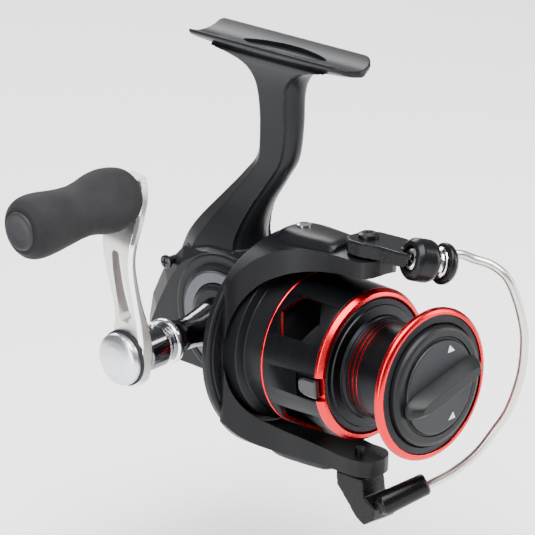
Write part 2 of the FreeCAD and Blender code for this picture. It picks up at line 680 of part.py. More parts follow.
# ---------------------------------------------------------------- rotor
def make_rotor():
    rim, forward = d.rim_radius, d.rim_forward
    core = new_body("rotor_core")
    spin(core, [
        (22.4, forward - 2.5), (rim, forward - 2.5), (rim, forward), (26.4, forward),
        (25.6, forward - 0.8), (24.2, forward - 0.8), (24.0, 1.5), (21.4, 2.4), (20.8, 11.6),
        (17.0, 13.4), (7.0, 14.2), (7.0, 17.0), (3.04, 17.0), (3.04, 12.0), (11.4, 11.8),
        (17.5, 10.0), (19.6, 8.0), (19.6, 1.2), (22.4, 0.6)])
    core.Placement = Placement(Vector(0, 0, 0), FORWARD)
    tube = new_body("arm_tube")
    spin(tube, [(d.arm_inner_radius, forward - 2.5), (rim, forward - 2.5), (d.arm_outer_radius, 4.0),
                (d.arm_outer_radius, 40.0), (d.arm_inner_radius, 40.0)])
    tube.Placement = Placement(Vector(0, 0, 0), FORWARD)
    half = d.arm_half_width
    pivot = d.pivot_forward
    side = [(30.5, 2.5), (26.0, 1.6), (20.0, -0.6), (15.4, -3.6), (11.6, -8.4), (9.0, -14.0),
            (half, -20.0), (half, -pivot - 3.0), (half - 1.6, -pivot - 6.0), (half - 4.5, -pivot - 7.4)]
    outline = [(30.5, 4.79), *side, *[(-x, y) for x, y in reversed(side)], (-30.5, 4.79)]
    arms = new_body("arm_outline")
    extrude(arms, "XY_Plane", -40.0, 80.0, outline=outline)
    bridge = combine("Part::Common", "rotor_arms", tube, [arms], None)
    joined = combine("Part::Fuse", "rotor_joined", core, [bridge], None)
    pocket = new_body("arm_pockets")
    for start in (float(d.arm_outer_radius) - 4.2, -45.0):
        extrude(pocket, "XY_Plane", start, 45.0 - float(d.arm_outer_radius) + 4.2, outline=[
            (-5.2, -7.0), (5.2, -7.0), (5.2, -pivot + 7.5), (-5.2, -pivot + 7.5)])
    hole = new_body("pivot_hole")
    extrude(hole, "XY_Plane", -45.0, 90.0, circle=(0.0, -pivot, 1.6))
    cutters = doc.addObject("Part::Compound", "rotor_cutters")
    taps = new_body("cover_screw_holes")
    extrude(taps, "XY_Plane", -45.0, 90.0, circle=(0.0, COVER_SCREW_Y, 1.25))
    cutters.Links = [pocket, hole, taps]
    combine("Part::Cut", "rotor", joined, [cutters], ROTOR)


def curved_strip(inner, outer, half_angle, steps=6):
    """Section of a plate bent round the spool axis, centred on the top."""
    turns = [math.radians(half_angle * (2 * k / steps - 1)) for k in range(steps + 1)]
    clear = inner / math.cos(math.radians(half_angle / steps))
    low = [(clear * math.sin(a), clear * math.cos(a)) for a in turns]
    high = [(outer * math.sin(a), outer * math.cos(a)) for a in reversed(turns)]
    return low + high


COVER_SCREW_Y = -4.4       # place of the arm covers' screws
BAIL_FLOOR = 33.3          # inner and outer faces of the bail's lever, from the spool axis
HEAD_GAP = 0.05     # left above the bail screw's head, mm
BAIL_TOP = 37.6
ROLLER_CENTRE = Vector(9.0, -50.7, 32.8)
ROLLER_AXIS = Vector(0.92, -0.30, -0.25)
WIRE_LAST_BEND = Vector(21.2, -57.0, -27.0)
WIRE_END = Vector(6.9, -46.3, -35.6)


def make_rotor_fittings():
    body = new_body("rotor_nut")
    hexagon = [(6.0 * math.cos(math.radians(60 * k)), 6.0 * math.sin(math.radians(60 * k)))
               for k in range(6)]
    extrude(body, "XY_Plane", 17.0, 2.6, outline=hexagon)
    extrude(body, "XY_Plane", 16.0, 6.0, circle=(0, 0, 3.0), cut=True)
    finish_node(body, "rotor_nut", ON_AXIS)
    body = new_body("nut_lock")
    extrude(body, "XY_Plane", 14.3, 0.7, outline=[(7.2, -3.0), (15.5, -2.2), (15.5, 2.2),
                                                  (7.2, 3.0)])
    finish_node(body, "nut_lock", ON_AXIS)
    ring("clutch_sleeve", 3.0, 7.1, 4.6, 9.0, ON_AXIS)
    ring("rotor_brake_ring", NECK_RADIUS, 19.3, 1.2, 2.6, ON_AXIS)
    outer = float(d.arm_outer_radius)
    cover_screws = []
    for name, turn in (("upper_arm_cover", 0), ("lower_arm_cover", 180)):
        body = new_body(name)
        extrude(body, "XZ_Plane", -1.2, 23.4, outline=curved_strip(outer + 0.02, outer + 3.2, 15))
        for edge in (-1, 1):
            extrude(body, "XY_Plane", 20.0, 30.0, cut=True, outline=[
                (edge * 12, 3.0), (edge * 9.0, 3.0), (edge * 8.6, -2.0), (edge * 7.0, -10.0),
                (edge * 6.2, -20.6), (edge * 4.6, -22.4), (edge * 12, -22.4)])
        extrude(body, "XY_Plane", 30.0, 10.0, circle=(0.0, COVER_SCREW_Y, 1.3), cut=True)
        extrude(body, "XY_Plane", outer + 2.0, 6.0, circle=(0.0, COVER_SCREW_Y, 2.4), cut=True)
        side = Placement(Vector(0, 0, 0), Rotation(Vector(0, 1, 0), turn))
        finish_node(body, name, ROTOR * side)
        piece = screw(name + "_screw", 1.25, 2.2, 0.9, 3.4)
        piece.Placement = ROTOR * side * Placement(
            Vector(0, COVER_SCREW_Y, outer + 2.02), Rotation())
        cover_screws.append(piece)
    group("arm_cover_screws", cover_screws, Placement())
    screws = []
    for turn in (0, 180):
        piece = screw("pivot_screw", 1.5, 3.0, 1.4, 11.6)
        side = Placement(Vector(0, 0, 0), Rotation(Vector(0, 1, 0), turn))
        piece.Placement = ROTOR * side * Placement(
            Vector(0, -float(d.pivot_forward), BAIL_TOP + 0.1), Rotation())
        screws.append(piece)
    group("bail_pivot_screws", screws, Placement())


# ---------------------------------------------------------------- bail


def roller_place(shift=0.0):
    axis = Vector(ROLLER_AXIS).normalize()
    turn = Rotation(Vector(0, 0, 1), axis)
    return ROTOR * Placement(ROLLER_CENTRE + axis * shift, turn)


def make_bail():
    pivot = -float(d.pivot_forward)
    # the lever: a plate round the pivot that reaches forward to the roller's boss
    body = new_body("bail_arm")
    extrude(body, "XY_Plane", BAIL_FLOOR, BAIL_TOP - BAIL_FLOOR, outline=[
        (-6.4, pivot + 2.0), (-3.6, pivot + 5.4), (3.6, pivot + 5.4), (6.8, pivot + 2.0),
        (7.6, -36.0), (7.4, -42.0), (7.0, -50.0), (2.0, -53.2), (-3.2, -51.0), (-4.6, -45.0),
        (-4.6, -38.0), (-6.4, pivot - 2.4)])
    boss = new_body("roller_boss")
    spin(boss, [(0, -12.0), (5.0, -12.0), (6.2, -10.6), (6.3, -6.0), (5.8, -4.6), (0, -4.6)])
    boss.Placement = relative(roller_place())
    bore = new_body("roller_bore")
    spin(bore, [(0, -13.0), (3.6, -13.0), (3.6, -10.2), (1.3, -10.2), (1.3, -4.6), (6.6, -4.6),
                (6.6, 10.0), (0, 10.0)])
    bore.Placement = relative(roller_place())
    hole = new_body("bail_hole")
    extrude(hole, "XY_Plane", 20.0, 30.0, circle=(0.0, pivot, 1.56))
    joined = combine("Part::Fuse", "bail_arm_joined", body, [boss], None)
    cutters = doc.addObject("Part::Compound", "bail_cutters")
    cutters.Links = [bore, hole]
    combine("Part::Cut", "bail_arm", joined, [cutters], ROTOR)
    lathe("line_roller", [(2.46, -4.4), (4.6, -4.4), (4.4, -3.9), (3.8, -3.4), (3.8, -2.8),
                          (4.6, -1.9), (4.8, -1.6), (2.46, -1.6)], roller_place())
    ring("roller_bush", 1.3, 2.4, -4.55, -1.45, roller_place())
    cone = new_body("wire_cone")
    spin(cone, [(1.3, -1.4), (5.6, -1.4), (6.2, -0.7), (6.0, 0.6), (5.0, 1.9), (3.0, 2.6), (0, 2.8),
                (0, -0.4), (1.3, -0.4)])
    cone.Placement = relative(roller_place())
    wire = make_bail_wire()
    combine("Part::Cut", "wire_cone", cone, [wire], ROTOR)
    piece = screw("roller_screw", 1.28, 3.2, 1.4, 9.7)
    finish_node(piece, "roller_screw", roller_place() * Placement(
        Vector(0, 0, -10.2), Rotation(Vector(1, 0, 0), 180)))
    # the holder: a wedge under the lower arm, and the socket that takes the wire's end
    body = new_body("bail_holder_wedge")
    extrude(body, "YZ_Plane", -4.8, 9.6, outline=[
        (pivot + 5.0, -BAIL_FLOOR), (pivot + 4.6, -37.4), (pivot + 1.4, -40.6), (pivot - 3.6, -45.8),
        (pivot - 6.6, -47.2), (pivot - 10.0, -45.0), (pivot - 10.6, -41.0), (pivot - 6.4, -38.6),
        (pivot - 5.4, -BAIL_FLOOR)])
    socket = new_body("wire_socket")
    spin(socket, [(0, -3.2), (2.6, -3.2), (3.3, -2.4), (3.5, 6.0), (3.7, 11.0), (2.6, 12.6), (0, 12.6)])
    socket.Placement = Placement(WIRE_END, Rotation(Vector(0, 0, 1), WIRE_END - WIRE_LAST_BEND))
    joined = combine("Part::Fuse", "bail_holder_joined", body, [socket], None)
    hole = new_body("holder_hole")
    extrude(hole, "XY_Plane", -60.0, 40.0, circle=(0.0, pivot, 1.56))
    extrude(hole, "XY_Plane", -60.0, 60.0 - BAIL_TOP - HEAD_GAP, circle=(0.0, pivot, 3.15))
    cutters = doc.addObject("Part::Compound", "holder_cutters")
    cutters.Links = [hole, wire]
    combine("Part::Cut", "bail_holder", joined, [cutters], ROTOR)


def relative(place):
    """A place in the rotor's own frame."""
    return ROTOR.inverse() * place


def make_bail_wire():
    """Round wire: straight runs joined by tangent arcs, from the cone to the holder."""
    route = [Vector(9.6, -51.4, 34.2), Vector(21.4, -63.4, 33.3), Vector(27.6, -68.3, 14.2),
             Vector(28.4, -66.2, -5.8), WIRE_LAST_BEND, WIRE_END]
    path = rounded_path(route)
    direction = route[1] - route[0]
    profile = Part.Wire(Part.makeCircle(float(d.wire_radius), route[0], direction))
    tube = path.makePipeShell([profile], True, False, 2)
    wire = doc.addObject("Part::Feature", "bail_wire_in_rotor_frame")
    wire.Shape = tube
    shaped("bail_wire", tube, ROTOR)
    return wire


def rounded_path(route):
    """Joins straight runs by arcs that touch both, as large as the shorter run allows."""
    edges = []
    at = route[0]
    for i in range(1, len(route) - 1):
        before = route[i - 1] - route[i]
        after = route[i + 1] - route[i]
        cut = 0.45 * min(before.Length, after.Length)
        before.normalize()
        after.normalize()
        first, last = route[i] + before * cut, route[i] + after * cut
        half = before.getAngle(after) / 2
        radius = cut * math.tan(half)
        middle = (before + after).normalize()
        crown = route[i] + middle * (radius / math.sin(half) - radius)
        edges.append(Part.LineSegment(at, first).toShape())
        edges.append(Part.Arc(first, crown, last).toShape())
        at = last
    edges.append(Part.LineSegment(at, route[-1]).toShape())
    return Part.Wire(edges)


def make_trip():
    """The bail's spring and the kick lever, in the upper arm's pocket."""
    outer = float(d.arm_outer_radius)
    low = outer - 3.9
    body = new_body("kick_lever")
    extrude(body, "XY_Plane", low, 1.2, outline=[(2.0, -19.6), (3.4, -19.6), (3.4, -8.4),
                                                (1.2, -8.4), (1.2, -10.0), (2.0, -10.4)])
    extrude(body, "XY_Plane", low, 2.0, circle=(2.6, -9.6, 1.5))
    finish_node(body, "kick_lever", ROTOR)
    coil_centre = Vector(-2.4, 0, low + 1.5)
    helix = Part.makeHelix(1.1, 9.9, 1.05)
    profile = Part.Wire(Part.makeCircle(0.22, Vector(1.05, 0, 0), Vector(0, 1, 0)))
    coil = Part.Wire(helix).makePipeShell([profile], True, True)
    shaped("bail_spring", coil, ROTOR * Placement(coil_centre + Vector(0, -8.2, 0), FORWARD))


# ---------------------------------------------------------------- handle
def make_handle():
    lathe("handle_shank", [
        (0, -10.4), (1.55, -10.4), (1.55, 12.8), (6.4, 12.8), (6.6, 16.5), (5.6, 21.0), (4.6, 27.0),
        (5.0, 31.0), (6.2, 34.0), (0, 34.0)], CRANK_OUT)
    ring("shank_ring", 0.0, 6.9, 34.0, 36.2, CRANK_OUT)
    lathe("handle_barrel", [(0, 36.2), (5.6, 36.2), (5.6, 38.0), (6.4, 39.0), (6.4, 43.6), (0, 43.6)],
          CRANK_OUT)
    body = new_body("handle_arm")
    reach = d.crank_length
    extrude(body, "XZ_Plane", -5.0, 10.0, outline=[
        (-44.0, -8.4), (-51.4, -8.4), (-51.4, 6.0), (-50.4, 16.0), (-50.0, 30.0), (-52.4, 44.0),
        (-52.4, reach + 4.8), (-47.4, reach + 4.8), (-47.4, 42.0), (-45.0, 30.0), (-44.0, 18.0)])
    extrude(body, "YZ_Plane", -60.0, 20.0, outline=[(-2.0, 12.0), (2.0, 12.0), (1.6, 40.0),
                                                     (-1.6, 40.0)], cut=True)
    for side in (-1, 1):
        extrude(body, "YZ_Plane", -60.0, 20.0, cut=True, outline=[
            (side * 5.2, -9.0), (side * 7.0, -9.0), (side * 7.0, 60.0), (side * 5.2, 60.0),
            (side * 3.6, 46.0), (side * 3.4, 22.0), (side * 5.0, 7.0)])
    finish_node(body, "handle_arm", CRANK)
    lathe("dome_ring", [(0, 51.4), (8.3, 51.4), (8.3, 52.4), (0, 52.4)], CRANK_OUT)
    lathe("dome_screw", [(0, 52.4), (7.8, 52.4), (7.8, 53.2), (6.8, 54.6), (4.4, 55.6), (0, 56.0)],
          CRANK_OUT)
    pin = CRANK * Placement(Vector(-41.4, 0, 3.4), Rotation())
    lathe("barrel_pin", [(0, 3.1), (0.8, 3.1), (0.8, 4.4), (0, 4.4)], pin)


def make_knob():
    """The ergonomic knob turns on a fixed axle at the crank's tip."""
    lathe("knob_axle", [(0, 52.4), (3.2, 52.4), (3.2, 54.0), (1.9, 54.0), (1.9, 89.0), (0, 89.0)],
          ON_CRANK_TIP)
    lathe("knob_grip", [(3.0, 54.6), (6.6, 54.6), (8.4, 57.0), (9.5, 62.0), (9.0, 69.0),
                        (9.2, 77.0), (10.4, 85.0), (10.2, 91.0), (8.2, 94.4), (5.6, 95.4), (5.6, 91.6),
                        (3.0, 91.6)], ON_CRANK_TIP)
    lathe("knob_cap", [(0, 91.8), (5.5, 91.8), (5.5, 95.2), (4.2, 96.1), (0, 96.4)], ON_CRANK_TIP)
    sleeves = []
    for low in (54.8, 83.0):
        body = new_body("knob_bush")
        spin(body, [(1.96, low), (3.0, low), (3.0, low + 5.0), (1.96, low + 5.0)])
        body.Placement = ON_CRANK_TIP
        sleeves.append(body)
    group("knob_bushes", sleeves, Placement())


# ---------------------------------------------------------------- build and export
def check_and_export():
    for feature in doc.Objects:
        bad = [word for word in feature.State if word in ("Invalid", "Error")]
        if bad:
            raise RuntimeError(f"{feature.Name} ({feature.Label}): {bad}")
        solid_feature = feature.TypeId.startswith("PartDesign::") and hasattr(feature, "Shape")
        if solid_feature and not feature.Shape.Solids:
            raise RuntimeError(f"{feature.Name} ({feature.Label}) has lost its solid")
    os.makedirs("parts", exist_ok=True)
    for label, feature in NODES.items():
        shape = feature.Shape
        if shape.isNull() or not shape.isValid() or not shape.Solids:
            raise RuntimeError(f"{label} has no valid solid")
        shape.exportStep(os.path.join("parts", label + ".step"))
    print(len(NODES), "sub-parts")


def main():
    make_housing()
    make_side_cover()
    make_case_fittings()
    make_drive_gear()
    make_pinion()
    make_oscillation()
    make_shaft_group()
    make_spool()
    make_drag()
    make_rotor()
    make_rotor_fittings()
    make_bail()
    make_trip()
    make_handle()
    make_knob()
    doc.recompute()
    check_and_export()


main()
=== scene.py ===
"""Looks of an open-face spinning reel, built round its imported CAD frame.

Lengths are millimetres in the pieces' own frames and become metres through each frame's matrix.
"""
import json
import math

import bmesh
import bpy
from mathutils import Matrix, Vector


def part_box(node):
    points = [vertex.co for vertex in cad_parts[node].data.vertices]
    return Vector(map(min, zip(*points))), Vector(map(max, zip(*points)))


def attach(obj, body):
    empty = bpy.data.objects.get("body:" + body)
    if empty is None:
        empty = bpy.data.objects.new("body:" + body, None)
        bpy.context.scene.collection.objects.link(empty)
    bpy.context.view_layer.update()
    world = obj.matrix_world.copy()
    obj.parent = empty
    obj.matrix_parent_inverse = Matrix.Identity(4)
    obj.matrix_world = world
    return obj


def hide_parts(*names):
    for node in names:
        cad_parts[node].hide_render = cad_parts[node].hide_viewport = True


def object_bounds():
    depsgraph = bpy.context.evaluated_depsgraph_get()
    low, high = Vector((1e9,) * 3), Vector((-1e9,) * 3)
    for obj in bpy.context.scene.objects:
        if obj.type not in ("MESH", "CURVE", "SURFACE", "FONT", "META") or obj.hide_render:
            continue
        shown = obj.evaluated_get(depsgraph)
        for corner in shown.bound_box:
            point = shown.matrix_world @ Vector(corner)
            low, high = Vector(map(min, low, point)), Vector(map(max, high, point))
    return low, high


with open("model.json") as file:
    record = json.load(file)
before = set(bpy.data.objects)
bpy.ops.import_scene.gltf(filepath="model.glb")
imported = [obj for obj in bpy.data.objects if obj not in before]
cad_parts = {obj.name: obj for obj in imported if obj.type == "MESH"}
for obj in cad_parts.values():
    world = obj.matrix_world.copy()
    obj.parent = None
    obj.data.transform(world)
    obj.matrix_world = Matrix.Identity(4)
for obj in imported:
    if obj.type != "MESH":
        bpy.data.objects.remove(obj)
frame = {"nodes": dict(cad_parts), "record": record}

cad_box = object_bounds()

# ---------------------------------------------------------------- places, from the frame
MM = 0.001
SCALE = Matrix.Scale(MM, 4)


def middle(node):
    low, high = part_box(node)
    return (low + high) / 2


AXIS_Z = middle("main_shaft").z
HANDLE_AXIS = middle("dome_screw")
KNOB_AXIS = middle("knob_cap")
FORWARD = Matrix.Rotation(math.radians(90), 4, "X")     # local Z points forward, along -Y
OUTWARD = Matrix.Rotation(math.radians(-90), 4, "Y")    # local Z points to the handle side, along -X
ROTOR_LEAN = math.radians(4.5)
CRANK_LEAN = math.atan2(HANDLE_AXIS.y - KNOB_AXIS.y, KNOB_AXIS.z - HANDLE_AXIS.z)
CRANK_LENGTH = math.hypot(HANDLE_AXIS.y - KNOB_AXIS.y, KNOB_AXIS.z - HANDLE_AXIS.z) / MM

REEL = Matrix.Translation((0, 0, AXIS_Z)) @ SCALE       # on the spool axis, Z up
SPOOL = REEL @ FORWARD                                  # on the spool axis, Z forward
ROTOR = REEL @ Matrix.Rotation(ROTOR_LEAN, 4, "Y")      # the rotor's own frame, Z to its upper arm
HANDLE = Matrix.Translation((0, HANDLE_AXIS.y, HANDLE_AXIS.z)) @ SCALE
CRANK = HANDLE @ Matrix.Rotation(CRANK_LEAN, 4, "X")    # Z runs along the crank
KNOB = CRANK @ Matrix.Translation((0, 0, CRANK_LENGTH)) @ OUTWARD
DIAL = HANDLE @ OUTWARD

ROLLER_CENTRE = Vector((9.0, -50.7, 32.8))
ROLLER_AXIS = Vector((0.92, -0.30, -0.25)).normalized()
ROLLER = ROTOR @ Matrix.Translation(ROLLER_CENTRE) @ ROLLER_AXIS.to_track_quat("Z", "Y").to_matrix().to_4x4()


# ---------------------------------------------------------------- materials
def material(name, colour, metallic=0.0, roughness=0.5, coat=0.0, coat_roughness=0.1, sheen=0.0,
             specular=0.5):
    """A Principled material with its plain values set on the shader itself."""
    made = bpy.data.materials.new(name)
    made.use_nodes = True
    shader = made.node_tree.nodes["Principled BSDF"]
    shader.inputs["Base Color"].default_value = (*colour, 1.0)
    shader.inputs["Metallic"].default_value = metallic
    shader.inputs["Roughness"].default_value = roughness
    shader.inputs["Coat Weight"].default_value = coat
    shader.inputs["Coat Roughness"].default_value = coat_roughness
    shader.inputs["Sheen Weight"].default_value = sheen
    shader.inputs["Specular IOR Level"].default_value = specular
    return made


def add_node(tree, kind, **settings):
    node = tree.nodes.new(kind)
    for key, value in settings.items():
        if key in node.inputs:
            node.inputs[key].default_value = value
        else:
            setattr(node, key, value)
    return node


def position(tree, stretch):
    """Object-space coordinates, stretched per axis."""
    coordinates = add_node(tree, "ShaderNodeTexCoord")
    mapping = add_node(tree, "ShaderNodeMapping")
    mapping.inputs["Scale"].default_value = stretch
    tree.links.new(coordinates.outputs["Object"], mapping.inputs["Vector"])
    return mapping.outputs["Vector"]


def noise_of(tree, vector, scale, detail=3.0, rough=0.55):
    node = add_node(tree, "ShaderNodeTexNoise", Scale=scale, Detail=detail, Roughness=rough)
    tree.links.new(vector, node.inputs["Vector"])
    return node.outputs["Fac"]


def ramp(tree, value, low, high, colour_low, colour_high):
    node = add_node(tree, "ShaderNodeValToRGB")
    node.color_ramp.elements[0].position = low
    node.color_ramp.elements[1].position = high
    node.color_ramp.elements[0].color = (*colour_low, 1.0)
    node.color_ramp.elements[1].color = (*colour_high, 1.0)
    tree.links.new(value, node.inputs["Fac"])
    return node.outputs["Color"]


def spread(tree, value, low, high):
    node = add_node(tree, "ShaderNodeMapRange")
    node.inputs["To Min"].default_value = low
    node.inputs["To Max"].default_value = high
    tree.links.new(value, node.inputs["Value"])
    return node.outputs["Result"]


def bump(tree, height, strength, distance):
    node = add_node(tree, "ShaderNodeBump", Strength=strength, Distance=distance)
    tree.links.new(height, node.inputs["Height"])
    tree.links.new(node.outputs["Normal"], tree.nodes["Principled BSDF"].inputs["Normal"])
    return node


def vary(made, low, high, scale, rough_low, rough_high, grain=900.0, depth=0.00002, strength=0.3,
         stretch=(1, 1, 1)):
    """Adds a soft colour change, an uneven roughness and a fine grain to a material."""
    tree = made.node_tree
    shader = tree.nodes["Principled BSDF"]
    where = position(tree, stretch)
    broad = noise_of(tree, where, scale)
    tree.links.new(ramp(tree, broad, 0.3, 0.7, low, high), shader.inputs["Base Color"])
    fine = noise_of(tree, where, grain, 4.0)
    tree.links.new(spread(tree, fine, rough_low, rough_high), shader.inputs["Roughness"])
    bump(tree, fine, strength, depth)
    return made


def painted(name, colour, rough, coat=0.0):
    """Fine textured satin paint or moulded plastic."""
    made = material(name, colour, 0.0, rough, coat=coat, coat_roughness=0.25, specular=0.16)
    low = tuple(c * 0.85 for c in colour)
    high = tuple(c * 1.2 for c in colour)
    return vary(made, low, high, 60.0, rough - 0.05, rough + 0.06)


def metal(name, colour, rough, stretch=(1, 1, 1), grain=700.0, depth=0.00003, strength=0.25):
    made = material(name, colour, 1.0, rough)
    low = tuple(c * 0.9 for c in colour)
    high = tuple(min(1.0, c * 1.08) for c in colour)
    return vary(made, low, high, 40.0, max(0.02, rough - 0.06), rough + 0.08, grain, depth, strength,
                stretch)


def rubber(name, colour, rough=0.75, sheen=0.15):
    made = material(name, colour, 0.0, rough, sheen=sheen * 0.3, specular=0.12)
    low = tuple(c * 0.8 for c in colour)
    high = tuple(c * 1.25 for c in colour)
    return vary(made, low, high, 120.0, rough - 0.08, rough + 0.1, 2200.0, 0.00005, 0.5)


FINISHES = {
    "body_black": lambda n: painted(n, (0.006, 0.0065, 0.008), 0.36),
    "rotor_black": lambda n: painted(n, (0.005, 0.0053, 0.0062), 0.34),
    "bail_black": lambda n: painted(n, (0.004, 0.0042, 0.005), 0.27),
    "screw_steel": lambda n: metal(n, (0.72, 0.72, 0.73), 0.2),
    "black_steel": lambda n: metal(n, (0.05, 0.05, 0.055), 0.35),
    "dial_grey": lambda n: metal(n, (0.10, 0.105, 0.115), 0.42),
    "bearing_steel": lambda n: metal(n, (0.6, 0.6, 0.62), 0.22),
    "shaft_steel": lambda n: metal(n, (0.66, 0.66, 0.68), 0.2),
    "gear_alloy": lambda n: metal(n, (0.55, 0.55, 0.56), 0.38),
    "gear_brass": lambda n: metal(n, (0.75, 0.55, 0.25), 0.28),
    "gear_plastic": lambda n: painted(n, (0.62, 0.6, 0.55), 0.45),
    "dark_chrome": lambda n: metal(n, (0.17, 0.17, 0.19), 0.12),
    "bright_chrome": lambda n: metal(n, (0.82, 0.82, 0.84), 0.1),
    "arm_aluminium": lambda n: metal(n, (0.60, 0.59, 0.57), 0.34, (1, 8, 1)),
    "dark_ring": lambda n: rubber(n, (0.02, 0.02, 0.022)),
    "dome_steel": lambda n: metal(n, (0.62, 0.64, 0.67), 0.3, (1, 1, 9)),
    "knob_rubber": lambda n: rubber(n, (0.012, 0.012, 0.013), 0.72, 0.05),
    "knob_cap_plastic": lambda n: painted(n, (0.016, 0.016, 0.018), 0.5),
    "bush_plastic": lambda n: painted(n, (0.1, 0.1, 0.1), 0.5),
    "seal_rubber": lambda n: rubber(n, (0.015, 0.015, 0.016)),
    "wire_steel": lambda n: metal(n, (0.60, 0.585, 0.56), 0.32, (1, 1, 1), 1200.0),
    "spool_black": lambda n: metal(n, (0.016, 0.017, 0.019), 0.36, (1, 14, 1), 420.0, 0.00003, 0.35),
    "band_rubber": lambda n: rubber(n, (0.028, 0.029, 0.031)),
    "clip_black": lambda n: painted(n, (0.008, 0.008, 0.009), 0.16, 0.5),
    "felt": lambda n: rubber(n, (0.05, 0.05, 0.05), 0.95, 0.4),
    "washer_steel": lambda n: metal(n, (0.55, 0.55, 0.57), 0.3),
    "knob_black": lambda n: painted(n, (0.007, 0.0074, 0.008), 0.38, 0.0),
}
FINISH = {slot: make(slot) for slot, make in FINISHES.items()}
RED = metal("red_anodised", (0.62, 0.012, 0.022), 0.26, (1, 14, 1), 420.0)
GLOSS = painted("gloss_black", (0.006, 0.006, 0.007), 0.12, 0.6)
GREY_FACE = metal("grey_face", (0.034, 0.036, 0.039), 0.5)
MARK_WHITE = painted("mark_white", (0.62, 0.63, 0.64), 0.5)
CHAMFER = metal("bright_chamfer", (0.86, 0.86, 0.86), 0.16, (1, 8, 1))


# ---------------------------------------------------------------- mesh building
def place_mesh(name, mesh, matrix, body, slot, finish=None, smooth=True):
    """Puts a mesh into the row frame, gives it its finish, and makes it ride on its body."""
    mesh.transform(matrix)
    if matrix.determinant() < 0:
        mesh.flip_normals()
    piece = bpy.data.objects.new(name, mesh)
    bpy.context.scene.collection.objects.link(piece)
    mesh.materials.append(finish or FINISH[slot])
    if smooth:
        mesh.polygons.foreach_set("use_smooth", [True] * len(mesh.polygons))
    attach(piece, body)
    return piece


def weighted(piece):
    """Keeps flat faces flat beside small bevels."""
    modifier = piece.modifiers.new("weighted", "WEIGHTED_NORMAL")
    modifier.keep_sharp = True
    modifier.weight = 80
    return piece


def bevel(piece, width, segments=3, angle=35.0):
    modifier = piece.modifiers.new("bevel", "BEVEL")
    modifier.width = width * MM
    modifier.segments = segments
    modifier.limit_method = "ANGLE"
    modifier.angle_limit = math.radians(angle)
    return piece


def loft_mesh(name, rings):
    """Quads between rings of points, with both ends capped."""
    mesh = bmesh.new()
    rows = [[mesh.verts.new(p) for p in ring] for ring in rings]
    count = len(rows[0])
    for low, high in zip(rows, rows[1:]):
        for i in range(count):
            j = (i + 1) % count
            mesh.faces.new((low[i], low[j], high[j], high[i]))
    mesh.faces.new(list(reversed(rows[0])))
    mesh.faces.new(rows[-1])
    bmesh.ops.recalc_face_normals(mesh, faces=mesh.faces)
    data = bpy.data.meshes.new(name)
    mesh.to_mesh(data)
    mesh.free()
    return data


def soften(profile, radius, steps=3):
    """Rounds the corners of a closed outline; a corner on the axis stays sharp."""
    rounded = []
    count = len(profile)
    for i, corner in enumerate(profile):
        here = Vector(corner[:2])
        before = Vector(profile[i - 1][:2]) - here
        after = Vector(profile[(i + 1) % count][:2]) - here
        size = min(radius, before.length * 0.45, after.length * 0.45)
        if here.x < 1e-6 or size < 1e-4 or before.angle(after) > 3.05:
            rounded.append(here)
            continue
        start, end = here + before.normalized() * size, here + after.normalized() * size
        for step in range(steps + 1):
            t = step / steps
            rounded.append(start * (1 - t) ** 2 + here * 2 * t * (1 - t) + end * t ** 2)
    return rounded


def lathe(name, profile, matrix, body, slot, finish=None, round_off=0.25, segments=128):
    """Turns a closed profile of (radius, height) points round the local Z axis."""
    outline = soften(profile, round_off)
    mesh = bmesh.new()
    columns = []
    for point in outline:
        if point.x < 1e-6:
            columns.append([mesh.verts.new((0, 0, point.y))])
            continue
        ring = []
        for k in range(segments):
            turn = 2 * math.pi * k / segments
            ring.append(mesh.verts.new((point.x * math.cos(turn), point.x * math.sin(turn), point.y)))
        columns.append(ring)
    count = len(columns)
    for i in range(count):
        low, high = columns[i], columns[(i + 1) % count]
        if len(low) == 1 and len(high) == 1:
            continue
        for k in range(segments):
            n = (k + 1) % segments
            corners = []
            for ring, index in ((low, k), (low, n), (high, n), (high, k)):
                vertex = ring[index % len(ring)] if len(ring) > 1 else ring[0]
                if vertex not in corners:
                    corners.append(vertex)
            mesh.faces.new(corners)
    bmesh.ops.recalc_face_normals(mesh, faces=mesh.faces)
    data = bpy.data.meshes.new(name)
    mesh.to_mesh(data)
    mesh.free()
    return weighted(place_mesh(name, data, matrix, body, slot, finish))


def prism(name, outline, low, high, matrix, body, slot, finish=None):
    """An outline of (x, y) points raised from low to high along local Z."""
    rings = [[(x, y, z) for x, y in outline] for z in (low, high)]
    return weighted(place_mesh(name, loft_mesh(name, rings), matrix, body, slot, finish))


def smooth_line(points, per_span=6):
    """Catmull-Rom curve through the points."""
    vectors = [Vector(p) for p in points]
    last = len(vectors) - 1
    result = []
    for i in range(last):
        a, b = vectors[max(i - 1, 0)], vectors[i]
        c, e = vectors[i + 1], vectors[min(i + 2, last)]
        for step in range(per_span):
            t = step / per_span
            result.append(0.5 * ((2 * b) + (c - a) * t + (2 * a - 5 * b + 4 * c - e) * t * t
                                 + (3 * b - a - 3 * c + e) * t ** 3))
    result.append(vectors[-1])
    return result


def cut_with(piece, cutter_mesh, matrix, finish=None):
    """Cuts a closed mesh out of a piece for good; the cut walls take the cutter's finish."""
    cutter_mesh.transform(matrix)
    cutter = bpy.data.objects.new("cutter", cutter_mesh)
    bpy.context.scene.collection.objects.link(cutter)
    if finish:
        cutter_mesh.materials.append(finish)
    modifier = piece.modifiers.new("cut", "BOOLEAN")
    modifier.operation = "DIFFERENCE"
    modifier.solver = "EXACT"
    modifier.object = cutter
    if finish:
        modifier.material_mode = "TRANSFER"
    index = list(piece.modifiers).index(modifier)
    if index:
        piece.modifiers.move(index, 0)
    bpy.context.view_layer.objects.active = piece
    bpy.ops.object.modifier_apply(modifier=modifier.name)
    bpy.data.objects.remove(cutter)
    return piece


